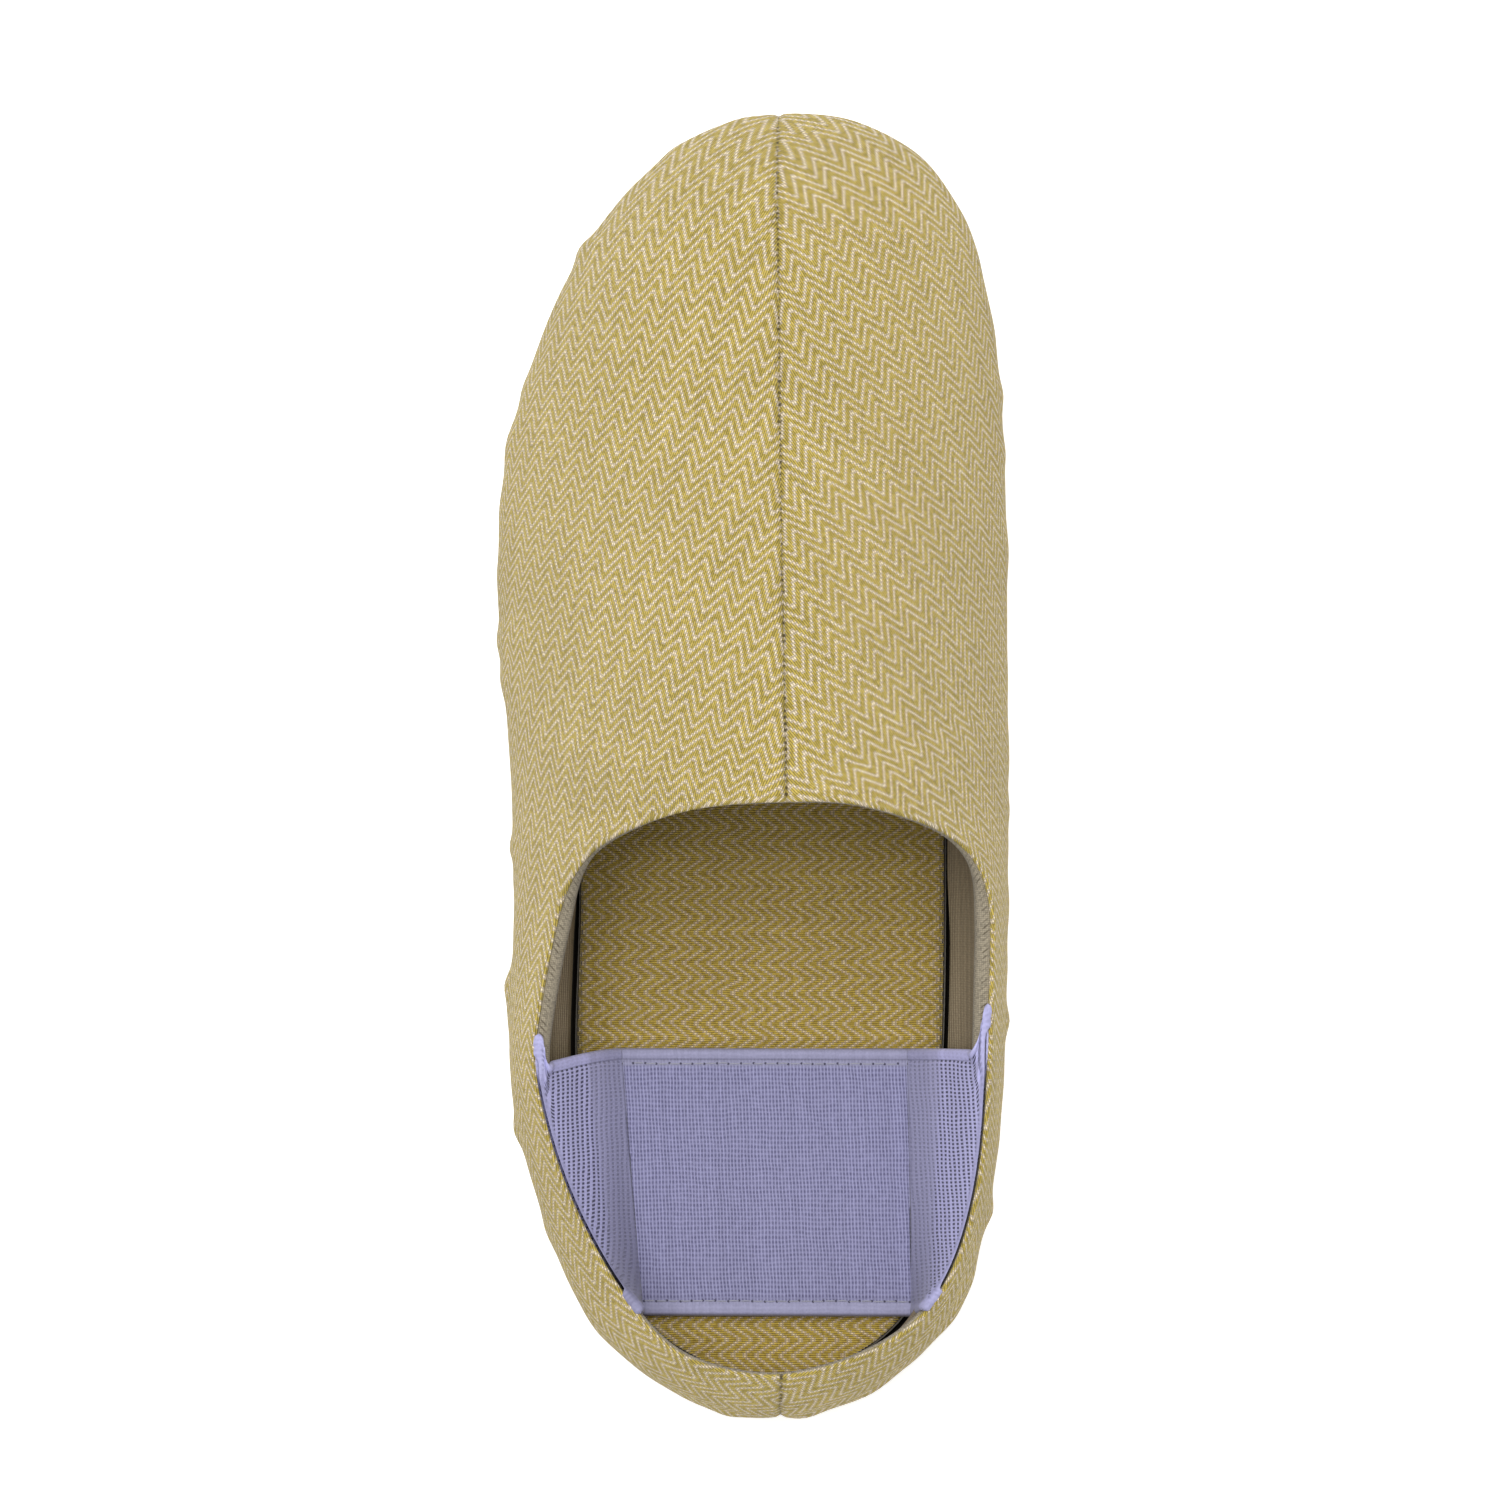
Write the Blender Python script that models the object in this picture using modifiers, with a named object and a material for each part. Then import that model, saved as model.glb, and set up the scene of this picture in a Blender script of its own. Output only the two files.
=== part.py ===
"""House slipper for the left foot: outsole, insole, hollow cloth upper and elastic heel band.

The toe points to +Y, the foot's inner side is +X and the sole stands on Z = 0, in metres,
with the origin under the middle of the shoe. Meshes are drawn with their heel at Y = 0
and hang on an empty that centres them. Shapes are worked out as shares of the named
sizes: "along" runs from heel to toe and "across" from the outer side to the inner side.
"""

import math

import bmesh
import bpy
import numpy as np

# Overall sizes
LENGTH = 0.260
WIDTH = 0.102
THROAT_HEIGHT = 0.074
TOE_SPRING = 0.006
ARCH_RISE = 0.0012

# Thickness of the wall, of its rim where it is thinnest, and of the flat layers
WALL = 0.0030
THIN_RIM = 0.0018
OUTSOLE = 0.0050
INSOLE = 0.0050
BAND = 0.0024

# Room between pieces that touch, round the insole and between the band and the rim
GAP = 0.0003
INSOLE_CLEARANCE = 0.0014
BAND_CLEARANCE = 0.0004

# How far the wall turns in under its widest line, and how far the sole's edge stands out
# beyond the place where the wall meets it
HEEL_TUCK = 0.0060
SIDE_TUCK = 0.0110
TOE_TUCK = 0.0090
SOLE_LIP = 0.0034

# Heights of the upper's widest line above the raised or level sole
BULGE_HEEL = 0.0180
BULGE_SIDE = 0.0200
BULGE_TOE = 0.0165

# Shares of the length between which the sole and the wall change
ARCH_RISES = (0.34, 0.44)
ARCH_FALLS = (0.50, 0.60)
TOE_RISES = 0.76
SIDE_TUCK_GROWS = (0.02, 0.26)
TOE_TUCK_GROWS = (0.75, 1.00)
SIDE_BULGE_GROWS = (0.05, 0.35)
TOE_BULGE_GROWS = (0.70, 1.00)
RIM_GROWS = (0.07, 0.18)
RIM_SHRINKS = (0.37, 0.44)

# Places on the top line, as in WALL_LINES, between which the ridge's slope sets in and the
# wall's thinning ends, and how many rows below the rim the wall is thinned
SLOPE_SETS_IN = (0.75, 1.00)
THINNING_ENDS = (1.00, 1.15)
THINNED_ROWS = 3

# Rounded edges, and the angles in degrees from which an edge is rounded or drawn sharp
SOLE_ROUND = 0.0014
INSOLE_ROUND = 0.0010
RIM_ROUND = 0.0007
ROUND_SEGMENTS = 2
ROUND_ANGLE = 50
SHARP_ANGLE = 40

# Distance within which two points of a mesh are one
WELD = 0.00002

# Tread grooves across the heel and the ball
GROOVE_WIDTH = 0.0024
GROOVE_DEPTH = 0.0012
GROOVE_PITCH = 0.0100
GROOVE_MARGIN = 0.0120
HEEL_TREAD = (0.085, 0.275)
BALL_TREAD = (0.610, 0.755)

# Widest outline of the upper seen from above, from the heel round the outer side to the
# toe and back along the inner side.
OUTLINE = (
    # across, along
    (0.060, 0.000),
    (-0.065, 0.006),
    (-0.176, 0.025),
    (-0.295, 0.064),
    (-0.375, 0.120),
    (-0.431, 0.184),
    (-0.465, 0.245),
    (-0.470, 0.310),
    (-0.464, 0.400),
    (-0.474, 0.500),
    (-0.493, 0.590),
    (-0.500, 0.660),
    (-0.480, 0.740),
    (-0.430, 0.815),
    (-0.343, 0.890),
    (-0.225, 0.950),
    (-0.087, 0.987),
    (0.050, 1.000),
    (0.200, 0.993),
    (0.330, 0.966),
    (0.424, 0.909),
    (0.468, 0.845),
    (0.490, 0.765),
    (0.498, 0.670),
    (0.500, 0.560),
    (0.500, 0.420),
    (0.495, 0.280),
    (0.477, 0.190),
    (0.437, 0.118),
    (0.364, 0.062),
    (0.254, 0.025),
    (0.149, 0.006),
)
OUTLINE_TOE_ROW = 17

# Collar edge in the same order, with its height as a share of THROAT_HEIGHT.
COLLAR = (
    # across, along, height
    (0.066, 0.030, 0.473),
    (-0.056, 0.035, 0.474),
    (-0.130, 0.046, 0.475),
    (-0.218, 0.078, 0.480),
    (-0.293, 0.122, 0.487),
    (-0.358, 0.175, 0.504),
    (-0.403, 0.233, 0.527),
    (-0.416, 0.272, 0.550),
    (-0.407, 0.302, 0.570),
    (-0.375, 0.365, 0.613),
    (-0.341, 0.403, 0.663),
    (-0.294, 0.425, 0.735),
    (-0.216, 0.441, 0.812),
    (-0.100, 0.453, 0.925),
    (0.085, 0.458, 1.000),
    (0.200, 0.4575, 0.968),
    (0.299, 0.450, 0.885),
    (0.385, 0.438, 0.780),
    (0.445, 0.417, 0.693),
    (0.473, 0.385, 0.635),
    (0.475, 0.345, 0.600),
    (0.471, 0.284, 0.560),
    (0.462, 0.215, 0.520),
    (0.430, 0.143, 0.493),
    (0.360, 0.085, 0.480),
    (0.260, 0.053, 0.476),
    (0.160, 0.037, 0.474),
)
COLLAR_THROAT_ROW = 14

# Top line of the vamp along the centre seam, from the throat to the top of the toe.
RIDGE = (
    # along, across, height
    (0.458, 0.085, 1.000),
    (0.574, 0.078, 0.942),
    (0.650, 0.072, 0.876),
    (0.730, 0.066, 0.780),
    (0.810, 0.061, 0.687),
    (0.890, 0.056, 0.590),
    (0.945, 0.051, 0.490),
)

# How each upright line of the wall runs: where it starts on a side's outline, where it
# ends on the top line (0 to 1 the collar, 1 to 2 the ridge), how far its arc turns
# inwards, in degrees, and the power of its curve (2 is an ellipse, less is more pointed).
WALL_LINES = (
    # outline, top, turn, power
    (0.000, 0.000, 50.0, 2.00),
    (0.182, 0.274, 42.0, 2.00),
    (0.300, 0.488, 36.0, 2.00),
    (0.379, 0.645, 36.0, 1.92),
    (0.433, 0.753, 42.0, 1.82),
    (0.468, 0.817, 52.0, 1.76),
    (0.506, 0.908, 70.0, 1.72),
    (0.530, 1.000, 90.0, 1.70),
    (0.634, 1.345, 90.0, 1.74),
    (0.764, 1.690, 90.0, 1.84),
    (0.834, 1.845, 90.0, 1.92),
    (0.895, 1.920, 90.0, 2.00),
    (1.000, 2.000, 90.0, 2.00),
)
THROAT_LINE = 7

# The heel band's outer and inner side: how far along its rear and front edges are sewn to
# the collar, and how far across the corners of its flat middle lie on the insole.
BAND_SIDES = (
    # rear along, front along, rear across, front across
    (0.0850, 0.2860, -0.215, -0.258),
    (0.0850, 0.3050, 0.300, 0.308),
)
BAND_REAR = 0.0775
BAND_FRONT = 0.2815
BAND_DROP = 0.0012
BAND_FLARE = 0.35

# Mesh density
COLLAR_COLUMNS = 29
VAMP_COLUMNS = 22
WALL_ROWS = 8
TUCK_ROWS = 4
PLATE_RUNGS = 38
PLATE_COLUMNS = 6
BAND_ROWS = 7
BAND_WING_COLUMNS = 5
BAND_PAD_COLUMNS = 5
PATH_STEPS = 400

OUTER, INNER = 0, 1
COLLECTION = "house_slipper"
CUTTERS = "house_slipper_cutters"
CENTRE = "slipper_centre"


def spline(rows, at, closed=False):
    """Curve with continuous curvature through the rows, read at the knots in at.

    The first value of each row is its knot. A closed curve repeats its first row last.
    """
    rows = np.array(rows, float)
    knots = rows[:, 0]
    values = rows[:, 1:]
    count = len(knots)
    step = np.diff(knots)
    rise = np.diff(values, axis=0) / step[:, None]
    matrix = np.zeros((count, count))
    right = np.zeros((count, values.shape[1]))
    for i in range(1, count - 1):
        matrix[i, i - 1 : i + 2] = step[i - 1], 2 * (step[i - 1] + step[i]), step[i]
        right[i] = 6 * (rise[i] - rise[i - 1])
    if closed:
        matrix[0, :2] = 2 * step[0], step[0]
        matrix[0, -2:] = step[-1], 2 * step[-1]
        right[0] = 6 * (rise[0] - rise[-1])
        matrix[-1, 0] = 1
        matrix[-1, -1] = -1
    else:
        matrix[0, 0] = 1
        matrix[-1, -1] = 1
    bend = np.linalg.solve(matrix, right)
    at = np.atleast_1d(np.array(at, float))
    i = np.clip(np.searchsorted(knots, at) - 1, 0, count - 2)
    h = step[i][:, None]
    b = (at - knots[i])[:, None] / h
    a = 1 - b
    straight = a * values[i] + b * values[i + 1]
    return straight + ((a**3 - a) * bend[i] + (b**3 - b) * bend[i + 1]) * h * h / 6


def smooth_step(value, low, high):
    """0 below low, 1 above high and a smooth ramp between."""
    t = np.clip((value - low) / (high - low), 0, 1)
    return t * t * (3 - 2 * t)


def half_ring(table, turn_row, side):
    """Dense path of one side of a closed outline, from the heel seam to the row turn_row.

    Each row is a point in metres, followed by the unit direction into the shoe.
    """
    sizes = (WIDTH, LENGTH, THROAT_HEIGHT)
    points = np.array(table) * np.array(sizes[: len(table[0])])
    ring = np.vstack([points, points[:1]])
    chord = np.linalg.norm(np.diff(ring[:, :2], axis=0), axis=1)
    knots = np.concatenate([[0], np.cumsum(chord)])
    rows = np.column_stack([knots, ring])
    whole = knots[-1]
    at = np.linspace(0 if side == OUTER else whole, knots[turn_row], PATH_STEPS + 1)
    step = whole / PATH_STEPS / 4
    path = spline(rows, np.mod(at, whole), closed=True)
    run = spline(rows, np.mod(at + step, whole), closed=True)
    run = (run - spline(rows, np.mod(at - step, whole), closed=True))[:, :2]
    run /= np.linalg.norm(run, axis=1)[:, None]
    return np.column_stack([path, run[:, 1], -run[:, 0]])


def at_share(path, share):
    """Rows of a dense path at shares of its length seen from above."""
    chord = np.linalg.norm(np.diff(path[:, :2], axis=0), axis=1)
    knots = np.concatenate([[0], np.cumsum(chord)]) / chord.sum()
    return np.column_stack([np.interp(share, knots, column) for column in path.T])


def lift(y):
    """Height of the sole's underside above the floor: arch and toe spring."""
    along = np.asarray(y) / LENGTH
    arch = smooth_step(along, *ARCH_RISES) * (1 - smooth_step(along, *ARCH_FALLS))
    toe = np.clip((along - TOE_RISES) / (1 - TOE_RISES), 0, 1) ** 2
    return ARCH_RISE * arch + TOE_SPRING * toe


def tuck(y):
    """How far the wall turns in under its widest line."""
    along = np.asarray(y) / LENGTH
    sides = HEEL_TUCK + (SIDE_TUCK - HEEL_TUCK) * smooth_step(along, *SIDE_TUCK_GROWS)
    return sides + (TOE_TUCK - SIDE_TUCK) * smooth_step(along, *TOE_TUCK_GROWS)


def bulge(y):
    """Height of the upper's widest line above the floor."""
    along = np.asarray(y) / LENGTH
    sides = BULGE_HEEL + (BULGE_SIDE - BULGE_HEEL) * smooth_step(along, *SIDE_BULGE_GROWS)
    toe = (BULGE_TOE - BULGE_SIDE) * smooth_step(along, *TOE_BULGE_GROWS)
    return sides + toe + lift(y)


def ridge(share):
    """Points on the ridge and its slope, at shares of its run from throat to toe."""
    start = RIDGE[0][0]
    end = RIDGE[-1][0]
    along = start + (end - start) * np.asarray(share)
    read = spline(RIDGE, along)
    step = (end - start) / PATH_STEPS
    rise = (spline(RIDGE, along + step) - spline(RIDGE, along - step))[:, 1]
    points = np.column_stack([read[:, 0] * WIDTH, along * LENGTH, read[:, 1] * THROAT_HEIGHT])
    return points, rise * THROAT_HEIGHT / (2 * step * LENGTH)


def line_shares():
    """Shares of a side's outline where the wall's lines start, even at both their ends."""
    share = np.linspace(0, 1, PATH_STEPS + 1)
    spread = share + spline(WALL_LINES, share)[:, 0] / 2
    middle = np.interp(WALL_LINES[THROAT_LINE][0], share, spread)
    rear = np.linspace(spread[0], middle, COLLAR_COLUMNS + 1)
    front = np.linspace(middle, spread[-1], VAMP_COLUMNS + 1)[1:]
    return np.interp(np.concatenate([rear, front]), spread, share)


def wall_grid(side):
    """Outer surface of one half of the upper: points[line][row], from the sole upwards."""
    share = line_shares()
    top, turn, power = spline(WALL_LINES, share).T
    foot = at_share(half_ring(OUTLINE, OUTLINE_TOE_ROW, side), share)
    collar = at_share(half_ring(COLLAR, COLLAR_THROAT_ROW, side), np.clip(top, 0, 1))
    vamp, slope = ridge(np.clip(top - 1, 0, 1))
    head = np.where((top > 1)[:, None], vamp, collar[:, :3])
    slope = slope * smooth_step(top, *SLOPE_SETS_IN)
    seat = OUTSOLE + GAP
    lines = []
    for i in range(len(share)):
        base = foot[i, :2]
        inward = foot[i, 2:]
        y = base[1]
        line = []
        for row in range(TUCK_ROWS):
            angle = math.radians(90 * (1 - row / TUCK_ROWS))
            spot = base + inward * tuck(y) * (1 - math.cos(angle))
            rise = (bulge(y) - lift(y) - seat) * (1 - math.sin(angle))
            line.append((*spot, seat + rise + lift(spot[1])))
        last = math.radians(min(turn[i], 90))
        e = 2 / power[i]
        for row in range(WALL_ROWS + 1):
            angle = last * row / WALL_ROWS
            inwards = (1 - math.cos(angle) ** e) / (1 - math.cos(last) ** e)
            upwards = (math.sin(angle) / math.sin(last)) ** e
            spot = base + (head[i, :2] - base) * inwards
            bend = slope[i] * (spot[1] - head[i, 1]) * upwards
            line.append((*spot, bulge(y) + (head[i, 2] - bulge(y)) * upwards + bend))
        lines.append(line)
    return np.array(lines), top


def rim_fullness(y):
    """1 where the padded rim is as thick as the wall, 0 at the heel and the throat."""
    along = np.asarray(y) / LENGTH
    return smooth_step(along, *RIM_GROWS) * (1 - smooth_step(along, *RIM_SHRINKS))


def wall_fullness(top, row, y):
    """1 where the wall has its full thickness, less near the thin stretches of the rim."""
    near_rim = np.clip(1 - (TUCK_ROWS + WALL_ROWS - row) / THINNED_ROWS, 0, 1)
    near_rim *= 1 - smooth_step(top, *THINNING_ENDS)
    return float(1 - near_rim * (1 - rim_fullness(y)))


def rim_inside(side):
    """Inner edge of the collar's rim: a point and the direction into the shoe, by line."""
    grid, top = wall_grid(side)
    edge = grid[: COLLAR_COLUMNS + 1, -1]
    along = np.gradient(edge, axis=0)
    up = edge - grid[: COLLAR_COLUMNS + 1, -2]
    normal = np.cross(up, along) if side == INNER else np.cross(along, up)
    normal /= np.linalg.norm(normal, axis=1)[:, None]
    thick = THIN_RIM + (WALL - THIN_RIM) * rim_fullness(edge[:, 1])
    level = normal.copy()
    level[:, 2] = 0
    level /= np.linalg.norm(level, axis=1)[:, None]
    return edge + normal * thick[:, None], level


def new_collection(name):
    """Empty collection linked to the scene."""
    made = bpy.data.collections.new(name)
    bpy.context.scene.collection.children.link(made)
    return made


def new_object(name, mesh, finish):
    """Links a mesh as a named object with its material, smooth but for sharp edges."""
    mesh.materials.append(finish)
    mesh.shade_smooth()
    mesh.set_sharp_from_angle(angle=math.radians(SHARP_ANGLE))
    made = bpy.data.objects.new(name, mesh)
    bpy.data.collections[COLLECTION].objects.link(made)
    made.parent = bpy.data.objects[CENTRE]
    return made


def material(name, colour, roughness):
    """Principled material of one plain colour."""
    made = bpy.data.materials.new(name)
    made.use_nodes = True
    shader = made.node_tree.nodes["Principled BSDF"]
    shader.inputs["Base Color"].default_value = (*colour, 1)
    shader.inputs["Roughness"].default_value = roughness
    shader.inputs["Metallic"].default_value = 0
    return made


def solidify(thing, thickness, offset):
    """Gives an open surface its thickness, on its back at offset -1, on its front at 1."""
    shell = thing.modifiers.new("thickness", "SOLIDIFY")
    shell.thickness = thickness
    shell.offset = offset
    shell.use_even_offset = True
    return shell


def round_edges(thing, width):
    """Rounds the edges round a solidified surface."""
    bevel = thing.modifiers.new("round", "BEVEL")
    bevel.width = width
    bevel.segments = ROUND_SEGMENTS
    bevel.limit_method = "ANGLE"
    bevel.angle_limit = math.radians(ROUND_ANGLE)


def sheet_mesh(name, grid):
    """Open surface through a grid of points, its front facing up where the grid is level."""
    build = bmesh.new()
    rows = [[build.verts.new(point) for point in row] for row in grid]
    for low, high in zip(rows, rows[1:]):
        for i in range(len(low) - 1):
            build.faces.new((low[i], low[i + 1], high[i + 1], high[i]))
    bmesh.ops.remove_doubles(build, verts=build.verts[:], dist=WELD)
    mesh = bpy.data.meshes.new(name)
    build.to_mesh(mesh)
    build.free()
    return mesh


def plate_edges(inset):
    """Dense paths of both sides of the outline, moved in from the wall's foot by inset."""
    edges = []
    for side in (OUTER, INNER):
        path = half_ring(OUTLINE, OUTLINE_TOE_ROW, side)
        edges.append(path[:, :2] + path[:, 2:] * (tuck(path[:, 1]) + inset)[:, None])
    return edges


def plate_grid(inset, height):
    """Grid between the edges moved in by inset, at height plus the sole's lift."""
    share = (1 - np.cos(np.linspace(0, math.pi, PLATE_RUNGS + 1))) / 2
    share = (share + np.linspace(0, 1, PLATE_RUNGS + 1)) / 2
    sides = [at_share(edge, share) for edge in plate_edges(inset)]
    grid = []
    for left, right in zip(*sides):
        across = np.linspace(0, 1, PLATE_COLUMNS + 1)[:, None]
        row = left + (right - left) * across
        grid.append(np.column_stack([row, height + lift(row[:, 1])]))
    return grid


def make_outsole(finish):
    """Rubber sole with arch, toe spring and blind grooves across heel and ball."""
    grid = plate_grid(-SOLE_LIP, OUTSOLE)
    outsole = new_object("outsole", sheet_mesh("outsole", grid), finish)
    solidify(outsole, OUTSOLE, -1)
    round_edges(outsole, SOLE_ROUND)
    cut = outsole.modifiers.new("grooves", "BOOLEAN")
    cut.operation = "DIFFERENCE"
    cut.solver = "EXACT"
    cut.object = groove_cutter()


def groove_cutter():
    """Bars that cut the tread grooves, each as long as the sole is wide there, less margins."""
    build = bmesh.new()
    sides = plate_edges(-SOLE_LIP)
    for start, end in (HEEL_TREAD, BALL_TREAD):
        count = int((end - start) * LENGTH / GROOVE_PITCH) + 1
        first = ((start + end) * LENGTH - (count - 1) * GROOVE_PITCH) / 2
        for i in range(count):
            y = first + i * GROOVE_PITCH
            left, right = (np.interp(y, path[:, 1], path[:, 0]) for path in sides)
            box = bmesh.ops.create_cube(build, size=1)["verts"]
            size = (right - left - 2 * GROOVE_MARGIN, GROOVE_WIDTH, 2 * GROOVE_DEPTH)
            bmesh.ops.scale(build, verts=box, vec=size)
            bmesh.ops.translate(build, verts=box, vec=((left + right) / 2, y, 0))
    mesh = bpy.data.meshes.new("groove_cutter")
    build.to_mesh(mesh)
    build.free()
    cutter = bpy.data.objects.new("groove_cutter", mesh)
    cutter.hide_render = True
    cutter.display_type = "WIRE"
    bpy.data.collections[CUTTERS].objects.link(cutter)
    cutter.parent = bpy.data.objects[CENTRE]
    return cutter


def make_insole(finish):
    """Footbed that lies on the outsole inside the wall."""
    grid = plate_grid(INSOLE_CLEARANCE, OUTSOLE + GAP)
    insole = new_object("insole", sheet_mesh("insole", grid), finish)
    solidify(insole, INSOLE, 1)
    round_edges(insole, INSOLE_ROUND)


def make_upper(finish):
    """Hollow wall of two halves that meet at the heel seam and along the centre seam."""
    build = bmesh.new()
    weight = build.verts.layers.deform.verify()
    for side in (OUTER, INNER):
        grid, top = wall_grid(side)
        lines = []
        for line, share in zip(grid, top):
            lines.append([build.verts.new(point) for point in line])
            for row, vertex in enumerate(lines[-1]):
                vertex[weight][0] = wall_fullness(share, row, vertex.co.y)
        for i in range(len(lines) - 1):
            for j in range(len(lines[0]) - 1):
                quad = [lines[i][j], lines[i + 1][j], lines[i + 1][j + 1], lines[i][j + 1]]
                if side == OUTER:
                    quad.reverse()
                if i < len(lines) - 2 or j < len(lines[0]) - 2:
                    build.faces.new(quad)
                    continue
                corner = quad.index(lines[i + 1][j + 1])
                quad = quad[corner:] + quad[:corner]
                build.faces.new(quad[:3])
                build.faces.new((quad[0], quad[2], quad[3]))
    bmesh.ops.remove_doubles(build, verts=build.verts[:], dist=WELD)
    mesh = bpy.data.meshes.new("upper")
    build.to_mesh(mesh)
    build.free()
    upper = new_object("upper", mesh, finish)
    full = upper.vertex_groups.new(name="full_wall")
    shell = solidify(upper, WALL, -1)
    shell.vertex_group = full.name
    shell.thickness_vertex_group = THIN_RIM / WALL
    round_edges(upper, RIM_ROUND)


def band_side(side, share):
    """Where the band meets the collar and the insole on one side, from rear to front."""
    rear, front, rear_across, front_across = BAND_SIDES[side]
    edge, inward = rim_inside(side)
    at = (rear + (front - rear) * share) * LENGTH
    seam = edge + inward * BAND_CLEARANCE - np.array([0, 0, BAND_DROP])
    seam = np.column_stack([np.interp(at, seam[:, 1], values) for values in seam.T])
    across = (rear_across + (front_across - rear_across) * share) * WIDTH
    along = (BAND_REAR + (BAND_FRONT - BAND_REAR) * share) * LENGTH
    level = np.full(len(share), OUTSOLE + GAP + INSOLE + GAP)
    return seam, np.column_stack([across, along, level])


def band_wing(seam, corner):
    """Curve from the collar down to the flat middle, at even steps of height."""
    bend = corner + (seam - corner) * np.array([BAND_FLARE, BAND_FLARE, 0])
    t = 1 - np.sqrt(np.linspace(1, 0, BAND_WING_COLUMNS + 1))[:, None]
    return (1 - t) ** 2 * seam + 2 * t * (1 - t) * bend + t**2 * corner


def make_heel_band(finish):
    """Elastic web that lies on the insole and climbs to the collar on both sides."""
    share = np.linspace(0, 1, BAND_ROWS + 1)
    sides = [band_side(side, share) for side in (OUTER, INNER)]
    across = np.linspace(0, 1, BAND_PAD_COLUMNS + 1)[1:-1, None]
    grid = []
    for row in range(BAND_ROWS + 1):
        outer, inner = (band_wing(seam[row], corner[row]) for seam, corner in sides)
        pad = outer[-1] + (inner[-1] - outer[-1]) * across
        grid.append(np.vstack([outer, pad, inner[::-1]]))
    band = new_object("heel_band", sheet_mesh("heel_band", grid), finish)
    solidify(band, BAND, 1)


def main():
    """Clears the scene and builds the slipper."""
    for old in list(bpy.data.objects):
        bpy.data.objects.remove(old, do_unlink=True)
    new_collection(COLLECTION)
    new_collection(CUTTERS)
    centre = bpy.data.objects.new(CENTRE, None)
    centre.location = (0, -LENGTH / 2, 0)
    bpy.data.collections[COLLECTION].objects.link(centre)
    make_outsole(material("sole_rubber", (0.42, 0.37, 0.30), 0.75))
    make_insole(material("insole_cloth", (0.60, 0.45, 0.16), 0.85))
    make_upper(material("upper_cloth", (0.80, 0.66, 0.30), 0.85))
    make_heel_band(material("elastic_web", (0.52, 0.50, 0.72), 0.80))


main()
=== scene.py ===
"""Looks of the left-foot house slipper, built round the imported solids.

Lengths are in metres. Surfaces are drawn with the heel at Y = 0, the toe towards +Y and the
foot's inner side towards +X, as in the part's source, and are then moved back by half the
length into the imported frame. Cloth coordinates, which the weaves read, are in millimetres.
"""

import math

import bmesh
import bpy
import numpy as np
from mathutils import Matrix, Vector


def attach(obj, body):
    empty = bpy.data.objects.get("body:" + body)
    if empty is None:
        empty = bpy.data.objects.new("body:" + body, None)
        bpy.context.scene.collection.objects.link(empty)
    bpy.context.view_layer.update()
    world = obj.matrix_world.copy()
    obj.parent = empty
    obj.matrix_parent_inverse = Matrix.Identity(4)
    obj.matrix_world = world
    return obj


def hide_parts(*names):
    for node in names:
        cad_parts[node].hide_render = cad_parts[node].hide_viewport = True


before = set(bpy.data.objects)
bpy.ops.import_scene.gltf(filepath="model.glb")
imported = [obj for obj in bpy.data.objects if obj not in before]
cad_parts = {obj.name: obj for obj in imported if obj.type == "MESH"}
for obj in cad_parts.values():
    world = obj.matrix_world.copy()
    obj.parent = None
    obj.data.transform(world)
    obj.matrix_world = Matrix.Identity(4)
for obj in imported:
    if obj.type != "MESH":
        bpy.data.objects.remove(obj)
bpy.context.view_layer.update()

MM = 0.001
BODY = "root"

# Sizes that the solids have too
LENGTH = 0.260
WIDTH = 0.102
THROAT_HEIGHT = 0.074
TOE_SPRING = 0.006
ARCH_RISE = 0.0012
WALL = 0.0030
OUTSOLE = 0.0050
INSOLE = 0.0050
GAP = 0.0003
INSOLE_CLEARANCE = 0.0014
HEEL_TUCK = 0.0060
SIDE_TUCK = 0.0110
TOE_TUCK = 0.0090
BULGE_HEEL = 0.0180
BULGE_SIDE = 0.0200
BULGE_TOE = 0.0165

# Shares of the length between which the sole and the wall change
ARCH_RISES = (0.34, 0.44)
ARCH_FALLS = (0.50, 0.60)
TOE_RISES = 0.76
SIDE_TUCK_GROWS = (0.02, 0.26)
TOE_TUCK_GROWS = (0.75, 1.00)
SIDE_BULGE_GROWS = (0.05, 0.35)
TOE_BULGE_GROWS = (0.70, 1.00)
RIM_GROWS = (0.07, 0.18)
RIM_SHRINKS = (0.37, 0.44)
SLOPE_SETS_IN = (0.75, 1.00)

# Widest outline of the upper seen from above, from the heel round the outer side to the
# toe and back along the inner side, as shares of WIDTH and LENGTH.
OUTLINE = (
    # across, along
    (0.060, 0.000),
    (-0.065, 0.006),
    (-0.176, 0.025),
    (-0.295, 0.064),
    (-0.375, 0.120),
    (-0.431, 0.184),
    (-0.465, 0.245),
    (-0.470, 0.310),
    (-0.464, 0.400),
    (-0.474, 0.500),
    (-0.493, 0.590),
    (-0.500, 0.660),
    (-0.480, 0.740),
    (-0.430, 0.815),
    (-0.343, 0.890),
    (-0.225, 0.950),
    (-0.087, 0.987),
    (0.050, 1.000),
    (0.200, 0.993),
    (0.330, 0.966),
    (0.424, 0.909),
    (0.468, 0.845),
    (0.490, 0.765),
    (0.498, 0.670),
    (0.500, 0.560),
    (0.500, 0.420),
    (0.495, 0.280),
    (0.477, 0.190),
    (0.437, 0.118),
    (0.364, 0.062),
    (0.254, 0.025),
    (0.149, 0.006),
)
OUTLINE_TOE_ROW = 17

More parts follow.
